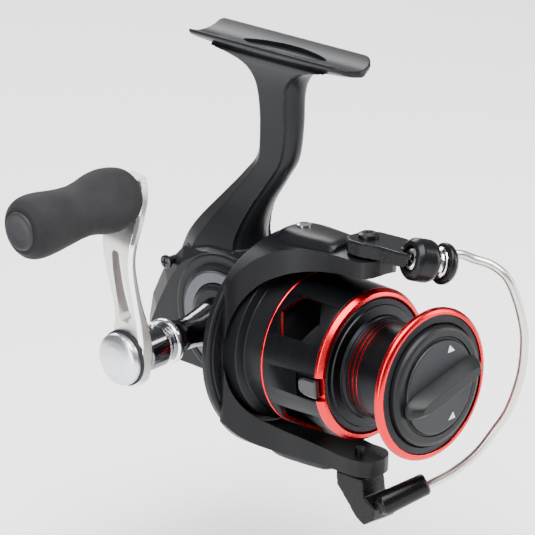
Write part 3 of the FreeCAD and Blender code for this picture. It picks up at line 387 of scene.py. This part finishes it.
def fuse_and_smooth(name, sources, voxel, passes, matrix, body, slot):
    """Joins closed meshes into one skin by remeshing them, and melts their seams together."""
    joined = bmesh.new()
    for mesh in sources:
        joined.from_mesh(mesh)
    data = bpy.data.meshes.new(name)
    joined.to_mesh(data)
    joined.free()
    piece = place_mesh(name, data, matrix, body, slot)
    remesh = piece.modifiers.new("remesh", "REMESH")
    remesh.mode = "VOXEL"
    remesh.voxel_size = voxel * MM
    remesh.use_smooth_shade = True
    smoothing = piece.modifiers.new("smooth", "SMOOTH")
    smoothing.factor = 0.5
    smoothing.iterations = passes
    bpy.context.view_layer.objects.active = piece
    bpy.ops.object.modifier_apply(modifier="remesh")
    bpy.ops.object.modifier_apply(modifier="smooth")
    return piece


# ---------------------------------------------------------------- carried-over nodes
BODIES = frame["record"]["behaviour"]["bodies"]
BODY_OF = {node: body for body, nodes in BODIES.items() for node in nodes}
SLOT_OF = {part["node"]: part["material_slot"] for part in frame["record"]["subparts"]}
OWN_LOOK = {"side_cover_screws": "black_steel"}     # nodes that look unlike their slot

for node_name, node_object in frame["nodes"].items():
    for material_slot in node_object.material_slots:
        material_slot.link = "OBJECT"
        material_slot.material = FINISH[OWN_LOOK.get(node_name, SLOT_OF[node_name])]


def melted(name, node, voxel, passes):
    """A cast part: the node's form with all its edges and inner corners rounded over."""
    source = frame["nodes"][node].data.copy()
    source.materials.clear()
    source.transform(REEL.inverted())
    piece = fuse_and_smooth(name, [source], voxel, passes, REEL, BODY_OF[node], SLOT_OF[node])
    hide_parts(node)
    return piece


def stands_for(piece, *nodes):
    """Hides the CAD nodes that a piece is shown in place of."""
    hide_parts(*nodes)
    return piece


# ---------------------------------------------------------------- spool
REAR, LIP = 10.7, 54.7      # the skirt's rear edge and the lip, forward of the origin
spool = lathe("spool_shell", [
    (4.08, 25.2), (8, 25.2), (8, 29.6), (21.0, 29.6), (22.1, 27.0), (22.1, REAR + 0.9),
    (22.7, REAR + 0.9), (23.25, REAR + 0.9), (22.66, 31.4), (21.3, 31.8), (20.3, 33.2),
    (19.6, 33.9), (18.2, 34.0), (18.0, 34.5), (15.4, 34.9), (15.2, 35.8), (14.6, 36.2),
    (14.6, 37.0), (14.2, 37.05), (14.2, 37.5), (14.6, 37.55), (14.6, 38.5), (14.2, 38.55),
    (14.2, 39.0), (14.6, 39.05), (14.6, 40.0), (14.2, 40.05), (14.2, 40.5), (14.6, 40.55),
    (14.6, 48.1), (13.8, 48.2), (13.8, 52.3), (14.6, 52.4), (21.0, 53.9), (21.0, 55.0),
    (20.5, 55.2), (20.5, 56.3), (18.4, 56.6), (18.4, 54.1), (13.4, 54.1), (13.4, 43.6), (4.08, 43.6)],
    SPOOL, "spool", "spool_black", round_off=0.12)
WINDOW_MIDDLE, WINDOW_RADIUS = 20.6, 7.4
for turn in (45, 135, 225, 315):
    hexagon = [(19.0, WINDOW_RADIUS * math.sin(math.radians(60 * k)),
                WINDOW_MIDDLE + WINDOW_RADIUS * math.cos(math.radians(60 * k))) for k in range(6)]
    cut_with(spool, loft_mesh("window", [hexagon, [(26.0, y, z) for _, y, z in hexagon]]),
             SPOOL @ Matrix.Rotation(math.radians(turn), 4, "Z"), RED)
CLIP_TURN = Matrix.Rotation(math.radians(3), 4, "Z")
seat = [(-20.9, y, z) for y, z in ((-3.6, 24.5), (3.6, 24.5), (3.6, 35), (-3.6, 35))]
cut_with(spool, loft_mesh("seat", [seat, [(-26.0, y, z) for _, y, z in seat]]), SPOOL @ CLIP_TURN,
         FINISH["spool_black"])
bevel(spool, 0.22, 2, 40)
stands_for(spool, "spool")
skirt_edge = lathe("skirt_front_edge", [
    (21.2, 31.55), (22.66, 31.45), (22.62, 32.4), (21.7, 33.8), (20.5, 34.1), (20.2, 33.3)],
    SPOOL, "spool", "spool_black", RED)
cut_with(skirt_edge, loft_mesh("seat", [seat, [(-26.0, y, z) for _, y, z in seat]]), SPOOL @ CLIP_TURN, RED)
lathe("skirt_rear_edge", [(22.12, REAR), (23.3, REAR), (23.4, REAR + 0.5), (23.28, REAR + 0.88),
                          (22.12, REAR + 0.88)], SPOOL, "spool", "spool_black", RED, 0.1)
for index, place in enumerate((37.05, 38.55, 40.05)):
    lathe(f"arbor_line_{index}", [(14.0, place), (14.42, place), (14.42, place + 0.45), (14.0, place + 0.45)],
          SPOOL, "spool", "spool_black", RED, 0.05)
lathe("lip_edge", [(20.6, 53.9), (21.6, 53.95), (22.35, 54.5), (22.5, 55.0), (22.5, 55.7), (22.2, 56.3),
                   (21.4, 56.7), (20.52, 56.7)], SPOOL, "spool", "spool_black", RED, 0.3)
band = lathe("grip_band", [(13.82, 48.25), (14.35, 48.25), (14.35, 52.25), (13.82, 52.25)],
             SPOOL, "spool", "band_rubber", None, 0.1)
stands_for(band, "arbor_band")
ribs = bmesh.new()
for k in range(40):
    turn = Matrix.Rotation(2 * math.pi * k / 40, 4, "Z")
    for low, high in ((48.35, 50.05), (50.45, 52.15)):
        block = bmesh.ops.create_cube(ribs, size=1.0)["verts"]
        bmesh.ops.transform(ribs, matrix=turn @ Matrix.Translation((14.4, 0, (low + high) / 2))
                            @ Matrix.Diagonal((0.45, 1.75, high - low, 1)), verts=block)
rib_mesh = bpy.data.meshes.new("grip_band_ribs")
ribs.to_mesh(rib_mesh)
ribs.free()
bevel(place_mesh("grip_band_ribs", rib_mesh, SPOOL, "spool", "band_rubber", smooth=False), 0.14, 2)

# the line clip: a glossy D-shaped tongue over the skirt's front edge
clip_outline = [(-1.9, 25.6), (-1.0, 25.2), (1.0, 25.2), (1.9, 25.6), (2.6, 27.2), (2.8, 29.4), (2.8, 32.0),
                (2.6, 32.25), (-2.6, 32.25), (-2.8, 32.0), (-2.8, 29.4), (-2.6, 27.2)]
clip_rings = [[(-x, y, z) for y, z in clip_outline] for x in (21.3, 22.7)]
clip_rings.append([(-23.0, y * 0.82, 28.9 + (z - 28.9) * 0.86) for y, z in clip_outline])
clip = place_mesh("clip_tongue", loft_mesh("clip_tongue", clip_rings), SPOOL @ CLIP_TURN, "line_clip",
                  "clip_black")
bevel(clip, 0.3, 4, 25)
weighted(clip)
stands_for(clip, "line_clip")

# ---------------------------------------------------------------- drag knob
knob = lathe("drag_knob_rim", [
    (12.0, 50.6), (12.0, LIP), (17.8, LIP), (17.8, 57.6), (17.3, 58.5), (16.4, 58.75), (14.75, 58.75),
    (14.6, 58.3), (14.1, 58.3), (13.9, 58.6), (13.9, 58.3), (3.0, 58.3), (3.0, 57.9), (10.6, 57.9),
    (10.6, 50.6)],
    SPOOL, "drag_knob", "knob_black", round_off=0.18)
stands_for(knob, "drag_knob")
lathe("drag_knob_plate", [(0, 58.31), (13.8, 58.31), (13.9, 59.2), (13.6, 59.55), (12.9, 59.6), (0, 59.6)],
      SPOOL, "drag_knob", "knob_black", GREY_FACE, 0.15)
lathe("drag_knob_seal_ring", [(17.85, 54.2), (18.35, 54.2), (18.35, 55.6), (18.1, 55.9), (17.85, 55.6)],
      SPOOL, "spool", "knob_black", GLOSS, 0.1)
GRIP_TURN = Matrix.Rotation(math.radians(14), 4, "Z")
grip_rings = []
for step in range(13):
    height = step / 12
    length = 15.5 - 3.2 * height ** 2.2
    half = 4.4 - 2.3 * height ** 1.3
    ring = []
    for k in range(48):
        turn = 2 * math.pi * k / 48
        along, across = math.cos(turn), math.sin(turn)
        x = length * math.copysign(abs(along) ** 0.55, along)
        waist = 0.80 + 0.20 * (x / 15.5) ** 2
        ring.append((x, half * waist * math.copysign(abs(across) ** 0.75, across), 59.5 + 4.7 * height))
    grip_rings.append(ring)
grip = place_mesh("drag_grip_bar", loft_mesh("drag_grip_bar", grip_rings), SPOOL @ GRIP_TURN, "drag_knob",
                  "knob_black")
bevel(grip, 0.5, 4, 40)
weighted(grip)
stands_for(grip, "knob_grip_bar")
for index, turn in enumerate((-24, 203)):
    arrow = [(-1.1, -1.1), (1.5, 0), (-1.1, 1.1)]
    prism(f"drag_mark_{index}", [(x, y + 11.2) for x, y in arrow], 59.58, 59.68,
          SPOOL @ Matrix.Rotation(math.radians(turn), 4, "Z"), "drag_knob", "knob_black", MARK_WHITE)

# ---------------------------------------------------------------- rotor, its covers and the bail
ROTOR_AXIS = ROTOR @ FORWARD
core = lathe("rotor_core", [
    (31.5, -4.8), (31.5, -3.0), (31.1, -2.45), (30.4, -2.3), (30.1, -2.45), (29.95, -2.9), (29.7, -2.9),
    (29.5, -2.45), (29.0, -2.3), (27.4, -2.6), (26.0, -3.3), (24.5, -3.6), (24.15, -1.0), (24.0, 1.5),
    (21.4, 2.4), (20.8, 11.6), (17, 13.4), (7, 14.2), (7, 17), (3.04, 17), (3.04, 11.8), (11.4, 11.8),
    (17.5, 10), (19.6, 8), (19.6, 1.2), (22.4, 0.6), (22.4, -4.8)], ROTOR_AXIS, "rotor", "rotor_black",
    round_off=0.3, segments=192)
stands_for(core, "rotor")
ARM_WIDTH = [(-2.6, 31.0), (-1.9, 27.5), (-0.2, 22.0), (3.6, 15.6), (8.4, 11.6), (14.0, 9.0), (20.0, 7.6),
             (26.0, 7.3), (32.0, 7.3), (34.6, 6.6), (36.3, 5.0), (37.0, 2.6)]
arm_line = smooth_line([(a, w, 0) for a, w in ARM_WIDTH], 6)


def arm_section(forward, half, inner, outer, count=24):
    """The arm's section across the axis: a thick arc over the rotor's top, in the rotor's frame."""
    top, low = [], []
    for k in range(count + 1):
        share = 2 * k / count - 1
        outer_turn, inner_turn = math.asin(half / outer) * share, math.asin(min(1, half / inner)) * share
        top.append((outer * math.sin(outer_turn), -forward, outer * math.cos(outer_turn)))
        low.append((inner * math.sin(inner_turn), -forward, inner * math.cos(inner_turn)))
    return top + list(reversed(low))


def cover_section(forward, half, crown, count=20):
    top, low = [], []
    for k in range(count + 1):
        share = 2 * k / count - 1
        turn = math.asin(half / 34.0) * share
        lift = 33.15 + crown * (1 - abs(share) ** 5) ** 0.6
        top.append((lift * math.sin(turn), -forward, lift * math.cos(turn)))
        low.append((32.9 * math.sin(turn), -forward, 32.9 * math.cos(turn)))
    return top + list(reversed(low))


COVER_SHAPE = [(-1.1, 4.4, 0.6), (0.0, 6.6, 1.4), (2.0, 8.2, 1.9), (6.0, 8.9, 2.1), (12.0, 8.3, 2.1),
               (17.0, 7.4, 2.05), (20.5, 6.9, 1.8), (22.0, 6.2, 1.0)]
for side, half_turn in (("upper", 0.0), ("lower", math.pi)):
    around = ROTOR @ Matrix.Rotation(half_turn, 4, "Y")
    rings = []
    for point in arm_line:
        front_share = min(1.0, max(0.0, (point.x - 6.0) / 22.0))
        rings.append(arm_section(point.x, min(point.y, 25.6), 26.0 + 2.2 * front_share, 33.0))
    arm_piece = place_mesh(f"{side}_rotor_arm", loft_mesh("rotor_arm", rings), around, "rotor", "rotor_black")
    bevel(arm_piece, 1.0, 4, 50)
    weighted(arm_piece)
    rings = [cover_section(p.x, p.y, p.z) for p in smooth_line(COVER_SHAPE, 5)]
    cover = place_mesh(f"{side}_cover_shell", loft_mesh("cover", rings), around, "rotor", "rotor_black")
    bevel(cover, 0.4, 3, 50)
    weighted(cover)
    stands_for(cover, f"{side}_arm_cover")
melted("bail_lever", "bail_arm", 0.24, 16)
melted("bail_foot", "bail_holder", 0.24, 16)
cone = lathe("roller_cone", [
    (0, -1.3), (5.0, -1.3), (5.9, -1.0), (6.15, -0.4), (5.95, 0.7), (5.0, 1.85), (3.0, 2.6),
    (1.2, 2.75), (0, 2.78)],
    ROLLER, "bail", "bail_black", round_off=0.4)
stands_for(cone, "wire_cone")
roller = lathe("roller_wheel", [
    (2.46, -4.35), (4.55, -4.35), (4.5, -3.95), (3.8, -3.45), (3.6, -3.0), (3.8, -2.5),
    (4.6, -1.95), (4.75, -1.65), (2.46, -1.65)],
    ROLLER, "line_roller", "bright_chrome")
stands_for(roller, "line_roller")


def tube(name, line, radius, body, slot, finish=None, segments=24):
    """A round bar along a line of points in the row frame, in metres, with flat capped ends."""
    across = (line[1] - line[0]).orthogonal().normalized()
    rings = []
    last = len(line) - 1
    for i, point in enumerate(line):
        ahead = (line[min(i + 1, last)] - line[max(i - 1, 0)]).normalized()
        across = (across - ahead * across.dot(ahead)).normalized()
        side = ahead.cross(across)
        size = radius(i / last) if callable(radius) else radius
        rings.append([point + (across * math.cos(t) + side * math.sin(t)) * size
                      for t in (2 * math.pi * k / segments for k in range(segments))])
    return place_mesh(name, loft_mesh(name, rings), Matrix.Identity(4), body, slot, finish)


WIRE_POINTS = [
    (12.4, -51.0, 34.6), (15.8, -53.4, 34.3), (18.8, -55.8, 32.6), (21.7, -60.0, 30.9),
    (23.6, -63.9, 27.6), (25.5, -65.7, 21.3), (27.0, -66.8, 13.3), (27.5, -66.9, 6.9),
    (27.5, -65.5, -3), (25.6, -62.7, -13.6), (23.2, -59.2, -20.7), (19, -56.1, -27.2),
    (14, -52.6, -31.8), (9, -49.4, -34.6), (5.4, -47.0, -36.3)]
wire_line = [REEL @ p for p in smooth_line(WIRE_POINTS, 10)]
wire = tube("bail_wire_bar", wire_line, 0.0013, "bail", "wire_steel")
stands_for(wire, "bail_wire")

# ---------------------------------------------------------------- handle
shank = lathe("shank_turned", [
    (0, 12.8), (6.2, 12.8), (6.4, 13.4), (6.6, 16.0), (6.5, 17.6), (5.9, 19.6), (5.3, 22.2),
    (4.8, 24.8), (4.6, 27.2), (4.7, 29.4), (5.1, 31.2), (5.8, 32.9), (6.2, 33.8), (6.2, 34.0),
    (0, 34.0)],
    DIAL, "handle", "dark_chrome", round_off=0.5)
stands_for(shank, "handle_shank")
shank_ring = lathe("shank_bright_ring", [
    (4.0, 34.0), (6.5, 34.0), (6.9, 34.4), (6.9, 35.8), (6.5, 36.2), (4.0, 36.2)],
    DIAL, "handle", "bright_chrome", round_off=0.25)
stands_for(shank_ring, "shank_ring")
barrel = lathe("barrel_turned", [
    (0, 36.2), (5.5, 36.2), (5.6, 36.5), (5.6, 37.9), (6.1, 38.6), (6.4, 39.4), (6.4, 45.8),
    (6.2, 46.2), (0, 46.2)],
    DIAL, "handle", "dark_chrome", round_off=0.3)
stands_for(barrel, "handle_barrel")
dome_ring = lathe("dome_dark_ring", [
    (4.0, 51.4), (8.1, 51.4), (8.3, 51.6), (8.3, 52.2), (8.1, 52.4), (4.0, 52.4)],
    DIAL, "handle", "dark_ring", round_off=0.1)
stands_for(dome_ring, "dome_ring")
dome = lathe("dome_cap", [
    (0, 52.4), (7.7, 52.4), (7.8, 52.7), (7.8, 53.9), (7.4, 54.6), (6.2, 55.2), (4.2, 55.7),
    (2.0, 55.94), (0, 56.0)],
    DIAL, "handle", "dome_steel", round_off=0.5)
stands_for(dome, "dome_screw")

OUTER_EDGE = [(-51.4, -8.4), (-51.4, 5), (-51.6, 10), (-52.6, 15), (-54.2, 20), (-56.0, 26), (-57.6, 32),
              (-58.4, 38), (-58.0, 41), (-55.6, 44.5), (-54.3, 47), (-54.2, 57.8)]
INNER_EDGE = [(-46.0, -8.4), (-46.0, 5), (-47.0, 10), (-48.8, 15), (-50.9, 20), (-52.8, 26), (-54.6, 32),
              (-55.4, 38), (-54.8, 41), (-52.0, 44.5), (-50.4, 48), (-50.2, 57.8)]
HALF_WIDTH = [(3.6, -8.4), (5.6, -6.8), (6.3, -4), (6.5, 0), (6.2, 6), (5.4, 11), (5.1, 16), (5.4, 26),
              (5.8, 33), (6.4, 39), (5.8, 43), (4.6, 47), (4.6, 53), (4.1, 56), (2.8, 57.8)]


def at(table, height):
    """Straight-line reading of a table of (value, height)."""
    for (low, low_at), (high, high_at) in zip(table, table[1:]):
        if height <= high_at:
            share = (height - low_at) / (high_at - low_at)
            return low + (high - low) * max(0.0, share)
    return table[-1][0]


def soft_at(table, height, reach):
    """The same reading with the table's corners rounded over a reach either side."""
    low, high = table[0][1], table[-1][1]
    steps = [min(high, max(low, height + reach * k / 3)) for k in range(-3, 4)]
    return sum(at(table, step) for step in steps) / len(steps)


arm_rings = []
ARM_STEPS = 96
ARM_FOOT, ARM_TOP = OUTER_EDGE[0][1], OUTER_EDGE[-1][1]
for step in range(ARM_STEPS + 1):
    height = ARM_FOOT + (ARM_TOP - ARM_FOOT) * step / ARM_STEPS
    outer, inner = soft_at(OUTER_EDGE, height, 3), soft_at(INNER_EDGE, height, 3)
    half = soft_at(HALF_WIDTH, height, 1.2)
    cut = 0.9 if half > 3 else 0.5
    flat = half - cut
    section = [(outer, -flat), (outer + cut, -half), (inner - cut, -half), (inner, -flat),
               (inner, flat), (inner - cut, half), (outer + cut, half), (outer, flat)]
    arm_rings.append([(x, y, height) for x, y in section])
arm = place_mesh("crank_arm", loft_mesh("crank_arm", arm_rings), CRANK, "handle", "arm_aluminium",
                 smooth=False)
arm.data.materials.append(CHAMFER)
for face in arm.data.polygons:
    normal = CRANK.to_3x3().inverted() @ face.normal
    tilt = abs(normal.normalized().y)
    face.material_index = 1 if 0.4 < tilt < 0.9 else 0
slot_rings = []
for depth in (-64.0, -40.0):
    ring = [(depth, y, z) for y, z in ((-1.8, 11.4), (1.8, 11.4), (2.7, 12.8), (2.5, 18), (1.6, 34.8),
                                       (0.9, 36), (-0.9, 36), (-1.6, 34.8), (-2.5, 18), (-2.7, 12.8))]
    slot_rings.append(ring)
cut_with(arm, loft_mesh("arm_slot", slot_rings), CRANK, FINISH["arm_aluminium"])
bevel(arm, 0.35, 2, 40)
weighted(arm)
stands_for(arm, "handle_arm")

# the grip: waisted, and slightly flattened across a direction that turns along it
GRIP = [(5.8, 54.65), (7.2, 55.4), (8.2, 57.2), (9.0, 60), (9.4, 63), (9.2, 66.5), (8.5, 70), (8.2, 73.5),
        (8.7, 77.5), (9.6, 82), (10.2, 86), (10.2, 89.5), (9.5, 92.4), (8.1, 94.4), (6.2, 95.3), (5.6, 95.4)]
GRIP_STEPS = 80
grip_rings = []
for step in range(GRIP_STEPS + 1):
    share = step / GRIP_STEPS
    out = GRIP[0][1] + (GRIP[-1][1] - GRIP[0][1]) * share
    radius = soft_at(GRIP, out, 1.0)
    twist = math.radians(20 + 125 * share)
    swell = 0.09 * math.sin(math.pi * share) ** 0.7
    ring = []
    for k in range(96):
        turn = 2 * math.pi * k / 96
        r = radius * (1 - swell + swell * math.cos(2 * (turn - twist)))
        ring.append((r * math.cos(turn), r * math.sin(turn), out))
    grip_rings.append(ring)
grip_knob = place_mesh("knob_rubber_grip", loft_mesh("knob_rubber_grip", grip_rings), KNOB, "knob",
                       "knob_rubber")
bevel(grip_knob, 0.6, 3, 50)
weighted(grip_knob)
stands_for(grip_knob, "knob_grip")
end_cap = lathe("knob_end_cap", [
    (0, 91.8), (5.3, 91.8), (5.5, 92.2), (5.5, 95.7), (5.2, 96.2), (4.6, 96.3), (2.6, 95.8),
    (0, 95.7)],
    KNOB, "knob", "knob_cap_plastic", round_off=0.3)
stands_for(end_cap, "knob_cap")
axle = lathe("knob_boss", [
    (0, 52.4), (4.3, 52.4), (4.4, 52.7), (4.3, 54.0), (3.9, 54.5), (1.9, 54.6), (1.9, 86), (0, 86)],
    KNOB, "handle", "bright_chrome", round_off=0.15)
stands_for(axle, "knob_axle")

# ---------------------------------------------------------------- housing, side cover and dial
def table_curve(rows, steps):
    """A smooth run through rows of (place, value, value, value), read at equal steps of the curve."""
    firsts = smooth_line([row[:3] for row in rows], steps)
    lasts = smooth_line([(row[0], row[3], 0) for row in rows], steps)
    return [(first.x, first.y, first.z, last.y) for first, last in zip(firsts, lasts)]


STEM = [  # height above the spool axis, front, rear, half width
    (14.0, 7.4, 42.6, 9.2), (20.0, 10.1, 39.6, 8.9), (26.0, 11.7, 36.6, 8.3), (32.0, 10.5, 31.8, 7.2),
    (40.0, 6.3, 23.8, 5.6), (49.0, -0.2, 14.7, 4.6), (56.0, -4.8, 9.0, 4.3), (66.0, -6.8, 7.7, 4.2),
    (75.0, -7.4, 7.9, 4.5), (80.0, -8.8, 9.2, 5.0), (83.4, -11.6, 12.0, 5.8), (85.4, -16.4, 17.0, 6.5),
    (86.8, -23.0, 24.5, 6.9)]
stem_rings = []
for height, front, rear, half in table_curve(STEM, 8):
    chamfer = 2.0 + 5.2 * min(1.0, max(0.0, (60.0 - height) / 30.0))
    ridge = 2.6 if height < 78 else 2.6 * max(0.0, (87.0 - height) / 9.0) + 0.4
    corner = (rear - front) * 0.12 if height > 80 else 0.0
    left = [(-half, rear - chamfer), (-half, (front + rear) / 2), (-half, front + ridge + 0.8 + corner),
            (-half, front + ridge), (-0.86 * half, front + ridge + 0.25), (-0.7 * half, front + 0.62 * ridge),
            (-0.48 * half, front + 0.24 * ridge), (-0.22 * half, front + 0.04 * ridge)]
    rights = [(-x, y) for x, y in reversed(left)]
    tail = [(0.55 * half, rear - 0.35), (0.3 * half, rear), (-0.3 * half, rear), (-0.55 * half, rear - 0.35)]
    stem_rings.append([(x, y, height) for x, y in left + [(0.0, front)] + rights + tail])

CASE = [(-0.4, 0.0), (-0.4, 15.4), (1.0, 16.6), (4.9, 17.5), (5.5, 21.4), (8.6, 25.2), (24.0, 25.4),
        (35.4, 22.4),
        (44.2, 13.8), (49.6, 3.8), (51.6, -4.8), (49.6, -11.0), (42.0, -15.0), (10.0, -15.5), (2.0, -14.4),
        (-0.4, -12.0)]
PULL_IN = [0.3, 0.3, 0.3, 0.3, 0.3, 0.6, 1.5, 4.2, 5.6, 5.2, 3.6, 2.4, 1.8, 1.4, 0.8, 0.4]


def inset(outline, amounts, share):
    """Moves the corners of a (y, z) outline inwards, each by a share of its own amount."""
    moved = []
    for i, (y, z) in enumerate(outline):
        before, after = outline[i - 1], outline[(i + 1) % len(outline)]
        along = Vector((after[0] - before[0], after[1] - before[1])).normalized()
        moved.append((y + along.y * amounts[i] * share, z - along.x * amounts[i] * share))
    return moved


case_rings = []
for x, share in ((-10.6, 1.0), (-7.4, 0.0), (7.8, 0.0), (11.0, 1.0)):
    case_rings.append([(x, y, z) for y, z in inset(CASE, PULL_IN, share)])


def turned_mesh(outline, segments=96):
    """A solid turned round the spool axis from (radius, forward) points."""
    rings = [[(r * math.cos(t), -a, r * math.sin(t)) for t in (2 * math.pi * k / segments
                                                              for k in range(segments))]
             for r, a in outline]
    return loft_mesh("turned", rings)


foot_rings = []
FOOT_HALF, FOOT_REACH, SADDLE = 7.35, 31.5, 14.5
for step in range(49):
    y = -FOOT_REACH + 2 * FOOT_REACH * step / 48
    nose = max(0.0, -y - (FOOT_REACH - 7.0)) / 7.0
    tail_end = max(0.0, y - (FOOT_REACH - 1.6)) / 1.6
    half = FOOT_HALF * math.sqrt(max(0.02, 1 - nose ** 2.3)) - 1.0 * tail_end ** 2
    thick = 1.9 + 2.2 * max(0.0, 1 - (abs(y) / FOOT_REACH) ** 1.6)
    top, low = [], []
    for k in range(15):
        x = half * (2 * k / 14 - 1)
        z = SADDLE - math.sqrt(SADDLE ** 2 - x ** 2)
        top.append((x, y, z))
        low.append((x, y, z - 1.25 - (thick - 1.0) * (1 - (x / half) ** 2) ** 0.8))
    foot_rings.append(top + list(reversed(low)))

shift_down = Matrix.Translation((0, 0, -AXIS_Z / MM))
foot_part = loft_mesh("foot_part", foot_rings)
foot_part.transform(shift_down)
lens = []
for k in range(40):
    turn = 2 * math.pi * k / 40
    lens.append((3.3 * math.sin(turn) * abs(math.sin(turn)) ** 0.35, -1.0 + 16.5 * math.cos(turn)))
casting = fuse_and_smooth("housing_casting", [
    loft_mesh("case_part", case_rings), loft_mesh("stem_part", stem_rings), foot_part,
    turned_mesh([(18.6, -0.5), (18.6, 2.9), (11.2, 3.0), (11.2, 8.8)])],
    0.32, 3, REEL, "frame", "body_black")
cut_with(casting, loft_mesh("pocket", [[(x, y, -0.9 - AXIS_Z / MM) for x, y in lens],
                                       [(x, y, 6.0 - AXIS_Z / MM) for x, y in lens]]), REEL)
stands_for(casting, "body_housing")

plate = lathe("side_plate", [
    (6.6, 10.4), (19.4, 10.4), (19.8, 10.7), (19.6, 11.0), (19.1, 11.2), (17.6, 11.2),
    (17.3, 10.95), (16.9, 10.95), (16.6, 11.3), (15.9, 11.5), (15.6, 11.9), (15.2, 12.0),
    (6.6, 12.0)],
    DIAL, "frame", "body_black", round_off=0.12)
front_cut = [[(x, -40, -45), (x, -0.2, -45), (x, -0.2, 45), (x, -40, 45)] for x in (-16, -5)]
cut_with(plate, loft_mesh("front_cut", front_cut), REEL)
stands_for(plate, "side_cover")
dial = lathe("dial_ring", [
    (11.2, 12.0), (14.8, 12.0), (14.8, 12.7), (14.5, 13.0), (11.5, 13.0), (11.2, 12.8)],
    DIAL, "frame", "dial_grey", round_off=0.15)
stands_for(dial, "handle_dial")
cap = lathe("dial_inner_cap", [
    (6.7, 12.0), (11.0, 12.0), (11.0, 12.9), (10.6, 13.6), (9.4, 14.0), (7.2, 14.0), (6.7, 13.7)],
    DIAL, "frame", "body_black", round_off=0.25)
stands_for(cap, "dial_cap")

# ---------------------------------------------------------------- camera, floor and light
CAMERA_TARGET = Vector((-0.003036, 0.0053, -0.067031))
CAMERA_DISTANCE = 1.1885
AZIMUTH, ELEVATION, ROLL = 0.78794, 0.35906, -0.02704

back = Vector((-math.sin(AZIMUTH) * math.cos(ELEVATION), -math.cos(AZIMUTH) * math.cos(ELEVATION),
               math.sin(ELEVATION)))
level = Vector((math.cos(AZIMUTH), -math.sin(AZIMUTH), 0.0))
upright = back.cross(level)
right = level * math.cos(ROLL) + upright * math.sin(ROLL)
up = upright * math.cos(ROLL) - level * math.sin(ROLL)
camera_data = bpy.data.cameras.new("camera")
camera_data.lens = 274.6
camera_data.sensor_width = 36.0
camera_data.clip_end = 20.0
camera = bpy.data.objects.new("camera", camera_data)
camera.matrix_world = Matrix.Translation(CAMERA_TARGET + back * CAMERA_DISTANCE) @ Matrix(
    (right, up, back)).transposed().to_4x4()
bpy.context.scene.collection.objects.link(camera)
bpy.context.scene.camera = camera

floor_mesh = bpy.data.meshes.new("floor")
FLOOR_SIZE = 3.0
FLOOR_GAP = 0.03      # the reel hangs this far above the floor
floor_z = cad_box[0].z - FLOOR_GAP
shape = bmesh.new()
corners = [shape.verts.new((x, y, floor_z)) for x, y in
           ((-FLOOR_SIZE, -FLOOR_SIZE), (FLOOR_SIZE, -FLOOR_SIZE), (FLOOR_SIZE, FLOOR_SIZE),
            (-FLOOR_SIZE, FLOOR_SIZE))]
shape.faces.new(corners)
shape.to_mesh(floor_mesh)
shape.free()
floor = bpy.data.objects.new("floor", floor_mesh)
bpy.context.scene.collection.objects.link(floor)
floor_finish = material("floor_pale", (0.92, 0.92, 0.92), 0.0, 0.8)
vary(floor_finish, (0.95, 0.95, 0.95), (0.97, 0.97, 0.97), 3.0, 0.75, 0.85, 60.0, 0.0001, 0.05)
floor_mesh.materials.append(floor_finish)


def area_light(name, place, size, power, aim=(0.0, 0.0, -0.07)):
    light = bpy.data.lights.new(name, "AREA")
    light.shape = "RECTANGLE"
    light.size, light.size_y = size
    light.energy = power
    lamp = bpy.data.objects.new(name, light)
    lamp.location = place
    lamp.rotation_euler = (Vector(aim) - Vector(place)).to_track_quat("-Z", "Y").to_euler()
    bpy.context.scene.collection.objects.link(lamp)
    return lamp


WORLD_STRENGTH = 0.30
area_light("key_above", (-0.15, -0.25, 0.75), (0.9, 0.7), 31)
area_light("left_strip", (-0.85, -0.15, 0.15), (0.25, 0.9), 8)
area_light("right_strip", (0.75, -0.65, 0.15), (0.25, 0.9), 9)
area_light("rear_rim", (0.35, 0.85, 0.55), (0.8, 0.4), 10)

world = bpy.data.worlds.new("studio")
world.use_nodes = True
world.node_tree.nodes["Background"].inputs["Color"].default_value = (1.0, 1.0, 1.0, 1.0)
world.node_tree.nodes["Background"].inputs["Strength"].default_value = WORLD_STRENGTH
bpy.context.scene.world = world

# ---------------------------------------------------------------- last update of the scene
bpy.context.view_layer.update()
